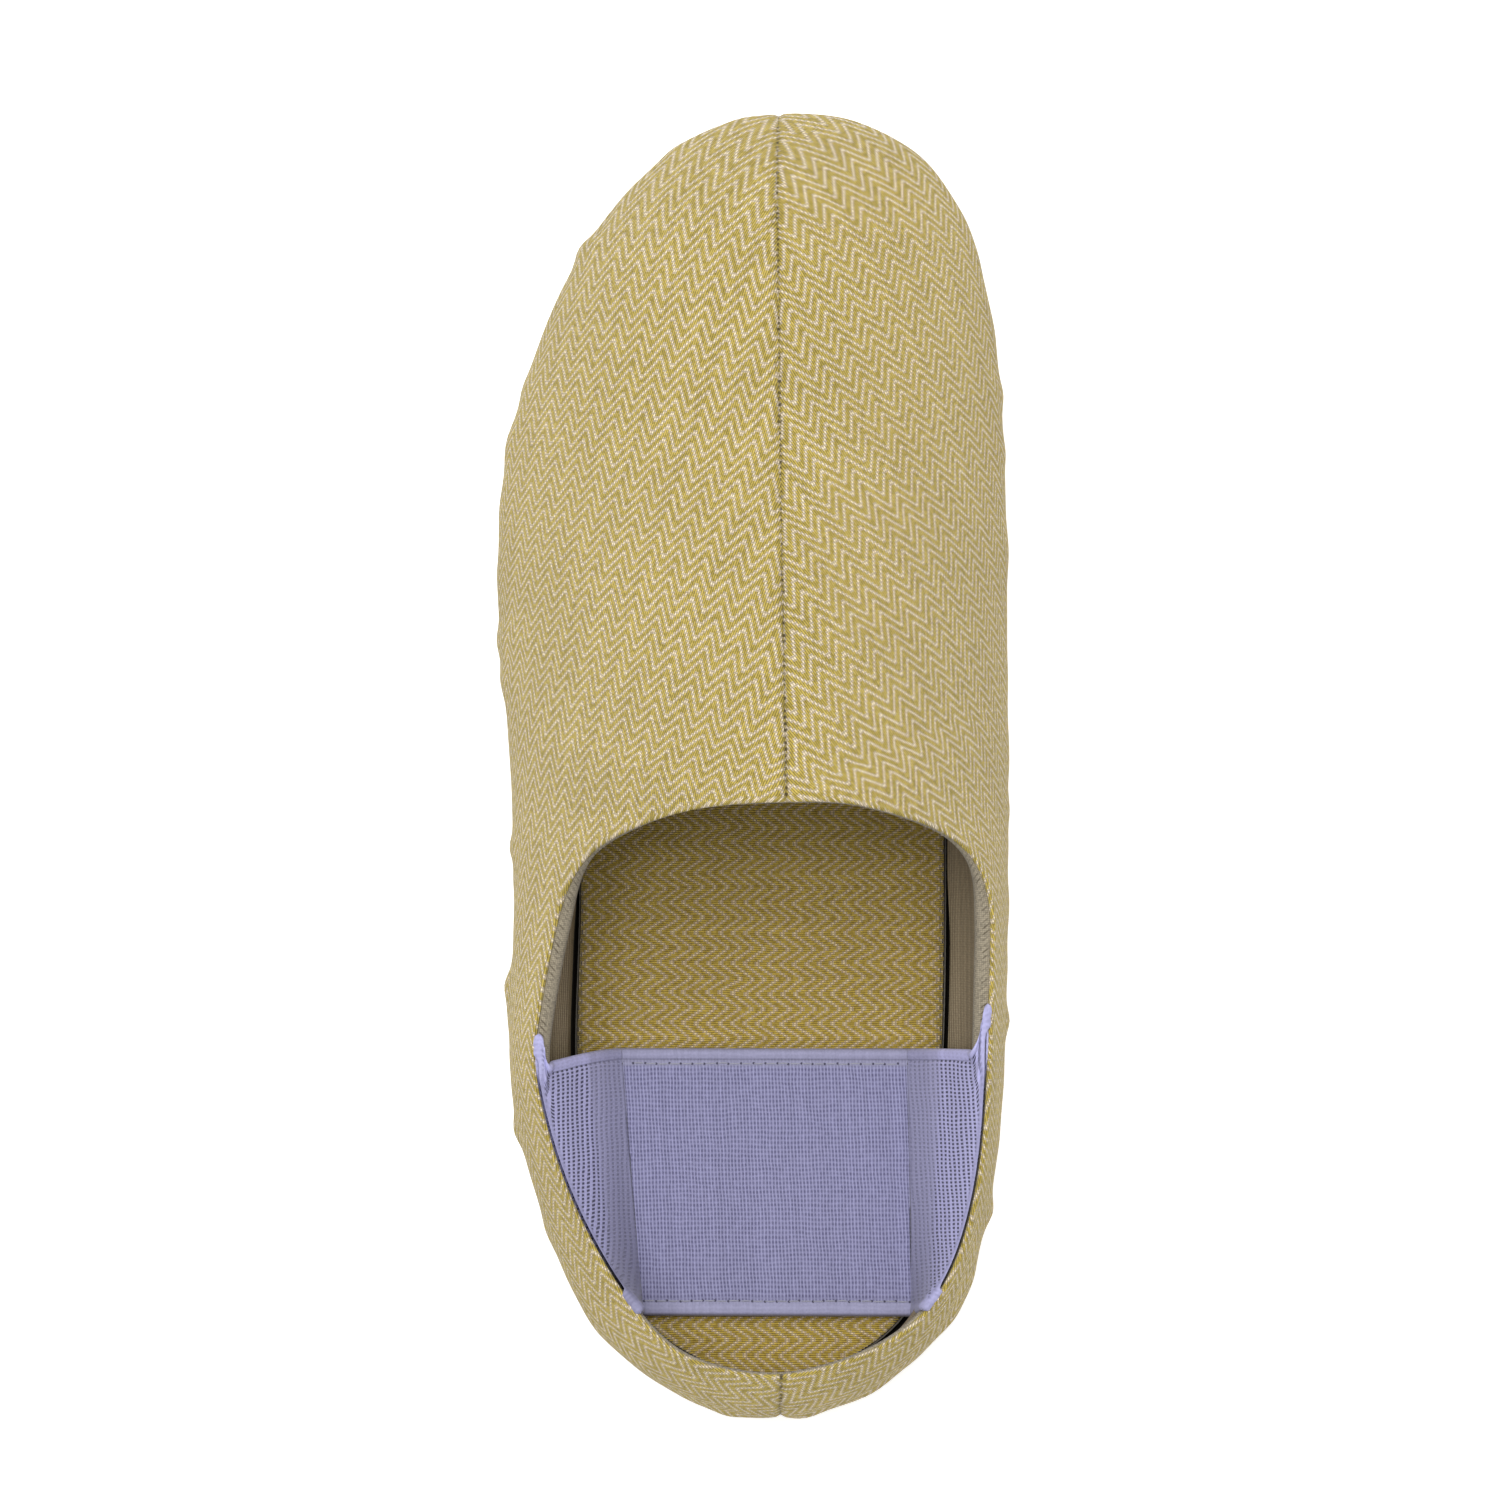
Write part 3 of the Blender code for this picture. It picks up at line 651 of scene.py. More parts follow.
def elastic_web(name, dark, light, grey, pad_hole_shade):
    """Ribbed elastic with rows of small gaps, plain selvedges and smooth creases."""
    m = Shader(name, 0.75)
    u, v = m.layer()
    front, rear = m.layer("edge_mm")
    wing, rim = m.layer("wing_mm")
    border = m.ramp(rim, 0.7, 1.9, 1.0, 0.0)
    pad = m.ramp(wing, 0.3, 1.2, 1.0, 0.0)
    reach = m.minus(wing, m.ramp(rear, 0.0, 50.0, *CREASE_MM))
    crease = m.times(m.ramp(wing, -0.3, 0.6), m.ramp(reach, -1.6, 0.0, 1.0, 0.0))
    selvedge = m.most(m.ramp(front, 2.0, 2.5, 1.0, 0.0), m.ramp(rear, 2.3, 2.8, 1.0, 0.0))
    sewn = m.most(m.ramp(front, 3.3, 3.9, 1.0, 0.0), m.ramp(rear, 2.9, 3.4, 1.0, 0.0))
    sewn = m.times(sewn, pad)
    sway = m.ramp(m.noise(120.0, 2.0), 0.3, 0.7, -0.10, 0.10)
    u_sway = m.plus(u, sway)
    v_sway = m.plus(v, m.times(sway, 1.6))
    gap = m.minus(1.0, m.wave(u_sway, RIB_MM))
    row = m.wave(v_sway, ROW_MM)
    cell = m.chance(m.over(u_sway, RIB_MM), m.over(v_sway, ROW_MM))
    hole = m.times(m.ramp(gap, 0.20, 0.95), m.ramp(row, 0.0, 0.9, 0.50, 1.0))
    hole = m.times(hole, m.ramp(cell, 0.0, 1.0, 0.70, 1.0))
    wing_row = m.wave(v_sway, WING_ROW_MM)
    wing_hole = m.times(m.ramp(gap, 0.30, 0.80), m.ramp(wing_row, 0.20, 0.80, 0.10, 1.25))
    hole = m.plus(m.times(hole, pad), m.times(wing_hole, m.minus(1.0, pad)))
    closed = m.most(m.times(crease, 0.6), m.times(sewn, 0.6))
    closed = m.most(m.most(closed, selvedge), border)
    hole = m.times(hole, m.minus(1.0, m.times(closed, 0.9)))
    # Wings painted up to almost twice as light: partly their coarser stretched knit, partly painted
    # light for how the sloping wings catch the lamp.
    stretch_and_light = m.ramp(wing, 0.0, CREASE_MM[1], 1.0, 1.85)
    # The web's gaps are painted dark as shade, and darker still as deeper shade on the padded
    # middle.
    colour = m.mix(hole, m.tint(light, stretch_and_light), m.mix(pad, pad_hole_shade, dark))
    plainness = m.most(m.times(crease, 0.35), m.times(sewn, 0.55))
    colour = m.mix(plainness, colour, grey)
    # Painted shade: a faint darkening along the rows of gaps.
    row_shade = m.ramp(m.wave(v_sway, ROW_MM), 0.0, 1.0, 1.0, 0.93)
    rib = m.chance(m.over(u_sway, RIB_MM), 5.0)
    colour = m.tint(colour, row_shade, m.ramp(rib, 0.0, 1.0, 0.96, 1.03))
    bright = m.times(m.ramp(selvedge, 0.0, 1.0, 1.0, 1.06), m.ramp(border, 0.0, 1.0, 1.0, 0.80))
    line = m.math("ABSOLUTE", m.minus(front, 2.25))
    line = m.most(m.ramp(line, 0.08, 0.26, 0.70, 1.0), border)
    fibre = m.ramp(m.noise(2200.0, 2.0), 0.25, 0.75, 0.93, 1.06)
    colour = m.tint(colour, bright, line, fibre)
    for away, place, wobble in ((front, STITCH_FRONT_MM, 0.16), (rear, STITCH_REAR_MM, 0.22)):
        number = m.math("ROUND", m.over(u, STITCH_MM))
        slip = m.ramp(m.chance(number, place), 0.0, 1.0, -wobble, wobble)
        side = m.minus(u, m.times(number, STITCH_MM))
        side = m.plus(side, slip)
        ahead = m.minus(m.minus(away, place), m.times(slip, 0.5))
        reach = m.math("POWER", m.plus(m.times(side, side), m.times(ahead, ahead)), 0.5)
        # Needle holes painted near black as shade.
        needle = m.times(m.ramp(reach, 0.16, 0.34, 0.92, 0.0), pad)
        colour = m.mix(needle, colour, NEEDLE_HOLE_SHADE)
    tacked = m.math("ABSOLUTE", m.minus(wing, 0.15))
    tack = m.ramp(m.wave(v, 1.2), 0.2, 0.8, 0.15, 0.65)
    tacked = m.times(m.ramp(tacked, 0.05, 0.30, 1.0, 0.0), tack)
    colour = m.mix(tacked, colour, SIDE_STITCH)
    rise = m.minus(1.0, m.times(hole, 0.9))
    gloss = {"Sheen Weight": 0.12, "Sheen Roughness": 0.4, "Specular IOR Level": 0.3}
    return m.finish(colour, rise, 0.00022, 0.9, gloss)


def unrolled(grid):
    """The grid laid flat with as little stretch as its shape allows, in millimetres.

    Every triangle in turn takes the best rotation, and then all corners are solved at once.
    """
    lines, rows = grid.shape[:2]
    points = grid.reshape(-1, 3) / MM
    number = np.arange(lines * rows).reshape(lines, rows)
    a, b, c, d = number[:-1, :-1], number[1:, :-1], number[1:, 1:], number[:-1, 1:]
    halves = [np.stack(corners, axis=-1).reshape(-1, 3) for corners in ((a, b, c), (a, c, d))]
    corner = np.concatenate(halves)
    one = points[corner[:, 1]] - points[corner[:, 0]]
    two = points[corner[:, 2]] - points[corner[:, 0]]
    long = np.linalg.norm(one, axis=1)
    reach = (one * two).sum(1) / long
    height = np.linalg.norm(np.cross(one, two), axis=1) / long
    zero = np.zeros_like(long)
    own = np.stack([zero, zero, long, zero, reach, height], axis=-1).reshape(-1, 3, 2)
    weights = []
    for k in range(3):
        left = own[:, k] - own[:, (k + 2) % 3]
        right = own[:, (k + 1) % 3] - own[:, (k + 2) % 3]
        area = left[:, 0] * right[:, 1] - left[:, 1] * right[:, 0]
        weights.append(np.clip((left * right).sum(1) / area, 0.02, 20))
    count = len(points)
    matrix = np.zeros((count, count))
    for k, weight in enumerate(weights):
        i, j = corner[:, k], corner[:, (k + 1) % 3]
        np.add.at(matrix, (i, i), weight)
        np.add.at(matrix, (j, j), weight)
        np.add.at(matrix, (i, j), -weight)
        np.add.at(matrix, (j, i), -weight)
    matrix[0, 0] += 1
    solve = np.linalg.inv(matrix)
    run = np.linalg.norm(np.diff(grid, axis=0), axis=-1).mean(1)
    climb = np.linalg.norm(np.diff(grid, axis=1), axis=-1)
    along = np.concatenate([[0], np.cumsum(run)])[:, None] / MM + np.zeros((lines, rows))
    up = np.column_stack([np.zeros(lines), np.cumsum(climb, axis=1)]) / MM
    flat = np.stack([along, up], axis=-1).reshape(-1, 2)
    for _ in range(UNROLL_STEPS):
        spread = np.zeros((len(corner), 2, 2))
        for k, weight in enumerate(weights):
            laid = flat[corner[:, k]] - flat[corner[:, (k + 1) % 3]]
            true = own[:, k] - own[:, (k + 1) % 3]
            spread += weight[:, None, None] * laid[:, :, None] * true[:, None, :]
        angle = np.arctan2(spread[:, 1, 0] - spread[:, 0, 1], spread[:, 0, 0] + spread[:, 1, 1])
        cosine, sine = np.cos(angle), np.sin(angle)
        turn = np.stack([cosine, -sine, sine, cosine], axis=-1).reshape(-1, 2, 2)
        pull = np.zeros((count, 2))
        for k, weight in enumerate(weights):
            true = own[:, k] - own[:, (k + 1) % 3]
            moved = weight[:, None] * np.einsum("tij,tj->ti", turn, true)
            np.add.at(pull, corner[:, k], moved)
            np.add.at(pull, corner[:, (k + 1) % 3], -moved)
        flat = solve @ pull
    return flat.reshape(lines, rows, 2)


def flat_cloth(side, heading):
    """Cloth coordinates of one half of the upper, as they lie when it is unrolled flat.

    heading is the point (across, along) where the columns run at the given angle from the
    toe's direction, seen from above, in degrees. Returns line shares, row steps and grid.
    """
    share = line_shares(FLAT_LINES, FLAT_LINES)
    under = np.linspace(0, 1, 4)[1:-1]
    over = np.linspace(0, 1, 17)
    grid, _ = wall_surface(side, share, under, over)
    flat = unrolled(grid)
    flat = flat - flat.mean((0, 1))
    across, toe, angle = heading
    spot = np.array([across, toe])
    away = np.linalg.norm(grid[..., :2] - spot, axis=-1)
    away[:, : len(under)] = 1
    i, j = np.unravel_index(away.argmin(), away.shape)
    i = min(max(i, 1), len(share) - 2)
    j = min(j, grid.shape[1] - 2)
    step_line = grid[i + 1, j, :2] - grid[i - 1, j, :2]
    step_row = grid[i, j + 1, :2] - grid[i, j - 1, :2]
    turn = math.radians(angle)
    wanted = np.array([math.sin(turn), math.cos(turn)])
    part = np.linalg.solve(np.column_stack([step_line, step_row]), wanted)
    by_line = part[0] * (flat[i + 1, j] - flat[i - 1, j])
    grain = by_line + part[1] * (flat[i, j + 1] - flat[i, j - 1])
    grain = grain / np.linalg.norm(grain)
    right = np.array([grain[1], -grain[0]])
    turned = np.stack([flat @ right, flat @ grain], axis=-1)
    return share, np.concatenate([under - 1, over]), bent(turned, BEND[side], BEND_AXIS[side])


def bent(flat, table, axis):
    """Cloth coordinates that turn and stretch by the table on the way along the cloth."""
    v = np.linspace(flat[..., 1].min(), flat[..., 1].max(), PATH_STEPS + 1)
    place, degrees, stretch = np.array(table, float).T
    turn = np.radians(np.interp(v, place, degrees))
    half = (turn[1:] + turn[:-1]) / 2
    step = (v[1] - v[0]) / np.interp(v[1:], place, stretch)
    spine_u = axis - np.concatenate([[0], np.cumsum(np.sin(half) * step)])
    spine_v = v[0] + np.concatenate([[0], np.cumsum(np.cos(half) * step)])
    at = flat[..., 1]
    angle = np.interp(at, v, turn)
    side = flat[..., 0] - axis
    u = np.interp(at, v, spine_u) + side * np.cos(angle)
    return np.stack([u, np.interp(at, v, spine_v) + side * np.sin(angle)], axis=-1)


def resample(knots, values, at):
    """Smooth curve through values at the knots along the first axis, read elsewhere."""
    shape = values.shape[1:]
    rows = np.column_stack([knots, values.reshape(len(knots), -1)])
    return spline(rows, at).reshape(len(at), *shape)


def cloth_on(share, rows, flat_share, flat_rows, flat):
    """Flat cloth coordinates read at other lines and rows, with the throat line kept sharp."""
    throat = WALL_LINES[THROAT_LINE][0]
    behind = flat_share <= throat + 1e-9
    ahead = flat_share >= throat - 1e-9
    rear = resample(flat_share[behind], flat[behind], share[share <= throat + 1e-9])
    front = resample(flat_share[ahead], flat[ahead], share[share > throat + 1e-9])
    lines = np.concatenate([rear, front])
    return np.swapaxes(resample(flat_rows, np.swapaxes(lines, 0, 1), rows), 0, 1)


# Where the columns of the weave run at a measured angle, for the outer and inner half
GRAIN = (
    # across, along, degrees from the toe's direction towards the inner side
    (-0.020, 0.165, 16.0),
    (0.032, 0.165, -30.0),
)

# How the columns turn towards the shoe's edge and stretch on the way to the toe, by half, and
# the line across the cloth about which they turn, in mm
BEND = (
    # along the cloth in mm, degrees, stretch along the columns
    ((-60, 0, 1.0), (-20, -3, 1.0), (14, -8, 1.0), (47, 0, 1.05), (98, 12, 1.25), (125, 13, 1.6)),
    ((-60, 0, 1.0), (20, -1, 1.0), (60, 8, 1.05), (80, 13.5, 1.15), (100, 20, 1.3), (115, 23, 1.6)),
)
BEND_AXIS = (-18, 0)

# Puckers where the cloth is gathered round the sole's edge: pitch, depth, half width, and
# how far up the wall they reach
PUCKER_PITCH = 0.0090
PUCKER_DEPTH = 0.0012
PUCKER_WIDTH = (0.0026, 0.0052)
PUCKER_REACH = (0.20, 0.50)
PUCKER_MARGIN = 0.004
PUCKER_SPACING = (0.5, 1.6)
PUCKER_SINK = 0.15
PUCKER_SHARES = (
    # along, depth
    ((0.0, 0.2, 0.45, 0.7, 0.8, 0.93, 1.0), (0.7, 1.0, 0.9, 0.7, 1.1, 1.1, 0.2)),
    ((0.0, 0.2, 0.45, 0.7, 0.8, 0.93, 1.0), (0.7, 0.9, 0.4, 0.4, 0.6, 0.4, 0.2)),
)


def line_distance(points, line):
    """Distance of every point to a line of points, and how far along the line that is."""
    start, step = line[:-1], np.diff(line, axis=0)
    length = np.linalg.norm(step, axis=1)
    begin = np.concatenate([[0], np.cumsum(length)])[:-1]
    best = np.full(len(points), np.inf)
    run = np.zeros(len(points))
    for a, b, size, before in zip(start, step, length, begin):
        share = np.clip((points - a) @ b / max(size * size, 1e-18), 0, 1)
        away = np.linalg.norm(points - a - share[:, None] * b, axis=1)
        nearer = away < best
        best = np.where(nearer, away, best)
        run = np.where(nearer, before + share * size, run)
    return best, run


def seam_distance(grid, top):
    """Distance of every point to the centre seam and to the heel seam, and the nearer run."""
    points = grid.reshape(-1, 3)
    shape = grid.shape[:2]
    seam = np.vstack([grid[top >= 1, -1], grid[-1, ::-1]])
    centre, along = line_distance(points, seam)
    rear, down = line_distance(points, grid[0])
    nearest = np.stack([np.minimum(centre, rear), np.where(centre < rear, along, down)], axis=-1)
    return centre.reshape(shape), rear.reshape(shape), nearest.reshape(*shape, 2) / MM


def puckers(side, share, rows, grid):
    """Outward relief of the gathers along the sole's edge."""
    rng = np.random.default_rng(11 + side)
    edge = grid[:, 0]
    run = np.concatenate([[0], np.cumsum(np.linalg.norm(np.diff(edge, axis=0), axis=-1))])
    relief = np.zeros(grid.shape[:2])
    place = PUCKER_MARGIN
    while place < run[-1] - PUCKER_MARGIN:
        width = rng.uniform(*PUCKER_WIDTH)
        along = np.interp(place, run, edge[:, 1]) / LENGTH
        depth = PUCKER_DEPTH * rng.uniform(0.1, 1.0) ** 1.6 * np.interp(along, *PUCKER_SHARES[side])
        reach = rng.uniform(*PUCKER_REACH)
        shape = np.exp(-(((run - place) / width) ** 2))
        fade = 1 - smooth_step(rows, reach * 0.2, reach)
        relief += depth * shape[:, None] * fade[None]
        place += PUCKER_PITCH * rng.uniform(*PUCKER_SPACING)
    return relief - PUCKER_SINK * PUCKER_DEPTH * (1 - smooth_step(rows, 0.1, 0.4))[None]


# Groove along the seams: depth, half width, and how near a seam the puckers end
GROOVE_DEPTH = 0.0005
GROOVE_WIDTH = 0.0007
SEAM_CLEAR = 0.002


def make_upper(finish):
    """Outer cloth of both halves, grooved along its seams and gathered at the sole."""
    grids, layers, seams = [], [], []
    share = line_shares(COLLAR_LINES, VAMP_LINES)
    near = np.array(SEAM_LINES)
    share = np.unique(np.concatenate([share, near, 1 - near]))
    under = np.linspace(0, 1, UNDER_ROWS + 1)[:-1]
    over = crowded_rows()
    rows = np.concatenate([under - 1, over])
    for side in (OUTER, INNER):
        grid, top = wall_surface(side, share, under, over)
        flat_share, flat_rows, flat = flat_cloth(side, GRAIN[side])
        cloth = cloth_on(share, rows, flat_share, flat_rows, flat)
        out = normals(grid, side)
        centre, rear, nearest = seam_distance(grid, top)
        dips = [np.exp(-((away / GROOVE_WIDTH) ** 2)) for away in (centre, rear)]
        groove = GROOVE_DEPTH * (dips[0] + dips[1])
        seated = smooth_step(rows, -1.0, -0.4)[None]
        relief = puckers(side, share, rows, grid) * seated - groove
        edge = np.minimum(smooth_step(centre, 0, SEAM_CLEAR), smooth_step(rear, 0, SEAM_CLEAR))
        relief = relief * np.where(relief > 0, edge, 1)
        grids.append(grid + out * relief[..., None])
        layers.append(cloth)
        seams.append(nearest)
    for side, fold in enumerate(fold_grids()):
        grids.append(fold)
        picked = np.array([0, *range(4, COLLAR_LINES + 4)])
        rise = np.linspace(0, FOLD_RADIUS * math.pi / MM, FOLD_ROWS)
        size = np.linalg.norm(grids[side][picked, -1] - grids[side][picked, -4], axis=-1) / MM
        rate = (layers[side][picked, -1] - layers[side][picked, -4]) / size[:, None]
        layers.append(layers[side][picked, -1:] + rate[:, None] * rise[None, :, None])
        seams.append(seams[side][picked, -1][:, None] + np.zeros((1, FOLD_ROWS, 1)))
    maps = {"cloth_mm": layers, "seam_mm": seams}
    piece = grid_piece("upper_cloth", grids, maps, [False, True, False, True])
    weld(piece)
    return fit(piece, finish, "upper_cloth", "upper")


# Profile of the rim across its top, from the seam under the yellow fold to the inside, in
# millimetres: where the rim is full, where it is thin and where the band presses it down.
FACING = (
    # full inward, full up, thin inward, thin up, pressed inward, pressed up
    (0.9, -0.9, 0.7, -0.7, 0.9, -0.9),
    (1.0, -0.3, 0.8, -0.3, 1.1, -0.8),
    (1.5, 0.0, 1.1, -0.1, 1.4, -1.1),
    (2.3, 0.0, 1.4, -0.15, 1.7, -1.7),
    (3.2, -0.3, 1.7, -0.4, 2.0, -2.3),
    (3.9, -0.9, 1.95, -0.9, 2.3, -2.9),
    (4.3, -1.9, 2.1, -1.6, 2.6, -3.5),
    (4.5, -3.2, 2.2, -2.6, 2.9, -4.1),
)
FACING_ROWS = 16
FOLD_ROWS = 7
FOLD_RADIUS = 0.00055
FOLD_TURN = 190


def collar_share():
    """Lines of the wall that end on the collar."""
    share = line_shares(COLLAR_LINES, VAMP_LINES)
    return share[: COLLAR_LINES + 1]


def rim_frame(side, share):
    """Rim points and, for each, the directions across its top to the inside and upwards."""
    over = crowded_rows()
    grid, _ = wall_surface(side, share, np.array([]), over)
    out = normals(grid, side)[:, -1]
    edge = grid[:, -1]
    run = unit(np.gradient(edge, axis=0))
    level = np.cross(run, [0, 0, 1]) if side == INNER else np.cross([0, 0, 1], run)
    level = unit(level)
    if np.sum(level * out) > 0:
        level = -level
    inward = unit(0.5 * level - 0.5 * out)
    up = unit(np.cross(inward, run))
    up = np.where(np.sum(up * out, axis=-1, keepdims=True) < 0, -up, up)
    return edge, inward, up


def rim_shape(side, y):
    """Inward and upward places of the facing's profile rows, for rims at the given y."""
    rear, front = WEB_SIDES[side][0] * LENGTH, WEB_SIDES[side][1] * LENGTH
    y = np.asarray(y)[:, None]
    table = np.array(FACING) * MM
    full = rim_fullness(y)
    press = smooth_step(y, rear + 0.001, rear + 0.006) * (1 - smooth_step(y, front - 0.005, front))
    across = full * table[:, 0] + (1 - full) * table[:, 2]
    rise = full * table[:, 1] + (1 - full) * table[:, 3]
    across = across + press * (table[:, 4] - across)
    return across, rise + press * (table[:, 5] - rise)


def rim_profile(side, share, rows):
    """Grid that follows the facing's profile along the rim."""
    edge, inward, up = rim_frame(side, share)
    across, rise = rim_shape(side, edge[:, 1])
    knots = np.linspace(0, 1, len(FACING))
    at = np.linspace(0, 1, rows)
    across = resample(knots, across.T, at).T
    rise = resample(knots, rise.T, at).T
    return edge[:, None] + inward[:, None] * across[..., None] + up[:, None] * rise[..., None]


def fold_grids():
    """Rows that carry the yellow cloth over the rim, for both sides."""
    share = collar_share()
    grids = []
    for side in (OUTER, INNER):
        edge, inward, up = rim_frame(side, share)
        turn = np.radians(np.linspace(0, FOLD_TURN, FOLD_ROWS))
        across = FOLD_RADIUS * (1 - np.cos(turn))
        rise = FOLD_RADIUS * np.sin(turn)
        base = edge[:, None]
        grids.append(base + inward[:, None] * across[:, None] + up[:, None] * rise[:, None])
    return grids


def running_length(grid):
    """Distance along the lines and along the rows of a grid, in millimetres."""
    along = np.linalg.norm(np.diff(grid, axis=0), axis=-1).mean(1)
    across = np.linalg.norm(np.diff(grid, axis=1), axis=-1)
    u = np.concatenate([[0], np.cumsum(along)])[:, None] + np.zeros(grid.shape[:2])
    v = np.column_stack([np.zeros(len(grid)), np.cumsum(across, axis=1)])
    return np.stack([u, v], axis=-1) / MM


def make_facing(finish):
    """Strip of lining cloth that covers the top of the rim."""
    share = collar_share()
    grids = [rim_profile(side, share, FACING_ROWS) for side in (OUTER, INNER)]
    layers = [running_length(grid) for grid in grids]
    piece = grid_piece("collar_facing", grids, {"cloth_mm": layers}, [False, True])
    weld(piece)
    return fit(piece, finish, "upper_cloth")


LINING_OVER = 26
LINING_UNDER = 6
LINING_GAP = 0.0009
LINING_GAP_TOE = 0.0003
LINING_GAP_SHRINKS = (0.36, 0.42)
LINING_HEM = 0.0006

# Painted shade at the foot of the lining, in the gap beside the insole: how far up it reaches, in
# mm
LINING_SHADE_MM = 5.8


def make_lining(finish):
    """Inner cloth from the rim and the vamp down to the edge of the insole."""
    share = line_shares(COLLAR_LINES, VAMP_LINES)
    over = np.linspace(0, 1, LINING_OVER + 1)
    grids, layers = [], []
    for side in (OUTER, INNER):
        grid, top = wall_surface(side, share, np.array([]), over)
        out = normals(grid, side)
        out[-4:] = out[-5]
        foot = at_share(half_ring(OUTLINE, OUTLINE_TOE_ROW, side), share)
        inward = np.column_stack([foot[:, 2:], np.zeros(len(foot))])
        y = foot[:, 1]
        wide = 1 - smooth_step(y / LENGTH, *LINING_GAP_SHRINKS)
        gap = LINING_GAP_TOE + (LINING_GAP - LINING_GAP_TOE) * wide
        reach = tuck(y) + INSOLE_CLEARANCE - gap
        bottom = (reach - WALL)[:, None] * (1 - over[None]) ** 1.6
        inner = grid - out * WALL + inward[:, None] * bottom[..., None]
        rim = rim_profile(side, share, FACING_ROWS)[:, -1]
        pull = (rim - inner[:, -1])[:, None] * smooth_step(over, 0.35, 1.0)[None, :, None]
        pull = pull * (1 - smooth_step(top, 1.0, 1.01))[:, None, None]
        inner = inner + pull
        floor = foot[:, :2] + foot[:, 2:] * reach[:, None]
        level = OUTSOLE + GAP + lift(floor[:, 1])
        ground = np.column_stack([floor, level])
        drop = np.linspace(0, 1, LINING_UNDER + 1)[:-1, None]
        low = ground[:, None] + (inner[:, :1] - ground[:, None]) * drop[None]
        hem = ground + inward * (gap + LINING_HEM)[:, None]
        hem[:, 2] = OUTSOLE + GAP / 2 + lift(hem[:, 1])
        whole = np.concatenate([hem[:, None], low, inner], axis=1)
        grids.append(whole)
        layers.append(running_length(whole))
    piece = grid_piece("lining", grids, {"cloth_mm": layers}, [True, False])
    weld(piece)
    return fit(piece, finish, "upper_cloth")


INSOLE_RUNGS = 120
INSOLE_COLUMNS = 30
INSOLE_DISH = 0.0004
INSOLE_EDGE = (
    # inset, height, in millimetres
    (0.4, 0.0),
    (0.0, 0.5),
    (0.0, 2.5),
    (0.0, 4.3),
    (0.12, 4.8),
    (0.45, 5.0),
)


def ring_side(side, inset, count):
    """Points of one side of the outline, moved in, from the heel to the toe."""
    path = half_ring(OUTLINE, OUTLINE_TOE_ROW, side)
    moved = path[:, :2] + path[:, 2:] * (tuck(path[:, 1]) + inset)[:, None]
    share = (1 - np.cos(np.linspace(0, math.pi, count + 1))) / 2
    share = (share + np.linspace(0, 1, count + 1)) / 2
    return at_share(moved, share)


def make_insole(cover, core):
    """Footbed: woven cover on top and its cut edge all round."""
    base = OUTSOLE + GAP
    sides = []
    for side in (OUTER, INNER):
        rows = []
        for inset, height in INSOLE_EDGE:
            spot = ring_side(side, INSOLE_CLEARANCE + inset * MM, INSOLE_RUNGS)
            rows.append(np.column_stack([spot, base + height * MM + lift(spot[:, 1])]))
        sides.append(np.stack(rows, axis=1))
    share = np.linspace(0, 1, INSOLE_COLUMNS + 1)[None, :, None]
    left, right = sides[0][:, -1:], sides[1][:, -1:]
    top = left + (right - left) * share
    dish = INSOLE_DISH * np.sin(share[..., 0] * math.pi) ** 2
    top[..., 2] = base + INSOLE + lift(top[..., 1]) - dish
    grids = [top, sides[0], sides[1]]
    layers = [grid[..., [1, 0]] / MM for grid in grids]
    piece = grid_piece("insole_cloth", grids, {"cloth_mm": layers}, [True, False, True])
    piece.data.materials.append(cover)
    piece.data.materials.append(core)
    edges = np.ones(len(piece.data.polygons), int)
    edges[: INSOLE_RUNGS * INSOLE_COLUMNS] = 0
    piece.data.polygons.foreach_set("material_index", edges)
    weld(piece)
    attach(piece, BODY)
    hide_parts("insole")
    return piece


# Elastic band: rows from its rear edge to its front edge, columns from rim to rim
BAND_ROWS = 90
WING_COLUMNS = 60
PAD_COLUMNS = 70
BAND_THICK = 0.0024
WEB_THICK = 0.0013
WEB_SIDES = (
    # rear along, front along, tip along, rear across, front across, tip narrow, tip wide in mm
    (0.0760, 0.2650, 0.2896, -0.220, -0.260, 1.6, 3.4),
    (0.0790, 0.2770, 0.3120, 0.318, 0.306, 1.4, 5.0),
)
TIP_GROWS = (0.72, 1.0)
WEB_REAR = 0.0765
WEB_FRONT = 0.2815
RIM_CLEARANCE = 0.00025
RIB_MM = 0.67
WING_STRETCH = 0.22
WING_CROWD = 1.5
SEAM_LEAN = 0.0010
SEAM_RISE = 0.0002
PULL_AT_RIM = (0.30, 0.30, 0.22)
PULL_AT_PAD = (0.36, 0.10, 0.22)
ON_THE_PAD = 99.0
ROW_MM = 0.90
WING_ROW_MM = 0.78
CREASE_MM = (4.8, 7.3)
STITCH_MM = 2.4
STITCH_END_MM = 0.6
THREAD_RADIUS = 0.00013
THREAD_SIDES = 8
STITCH_FRONT_MM = 3.1
STITCH_REAR_MM = 3.0


def web_rows():
    """Shares of the band from rear to front, closer together at both selvedges."""
    even = np.linspace(0, 1, BAND_ROWS + 1)
    return even - 0.07 * np.sin(2 * math.pi * even)


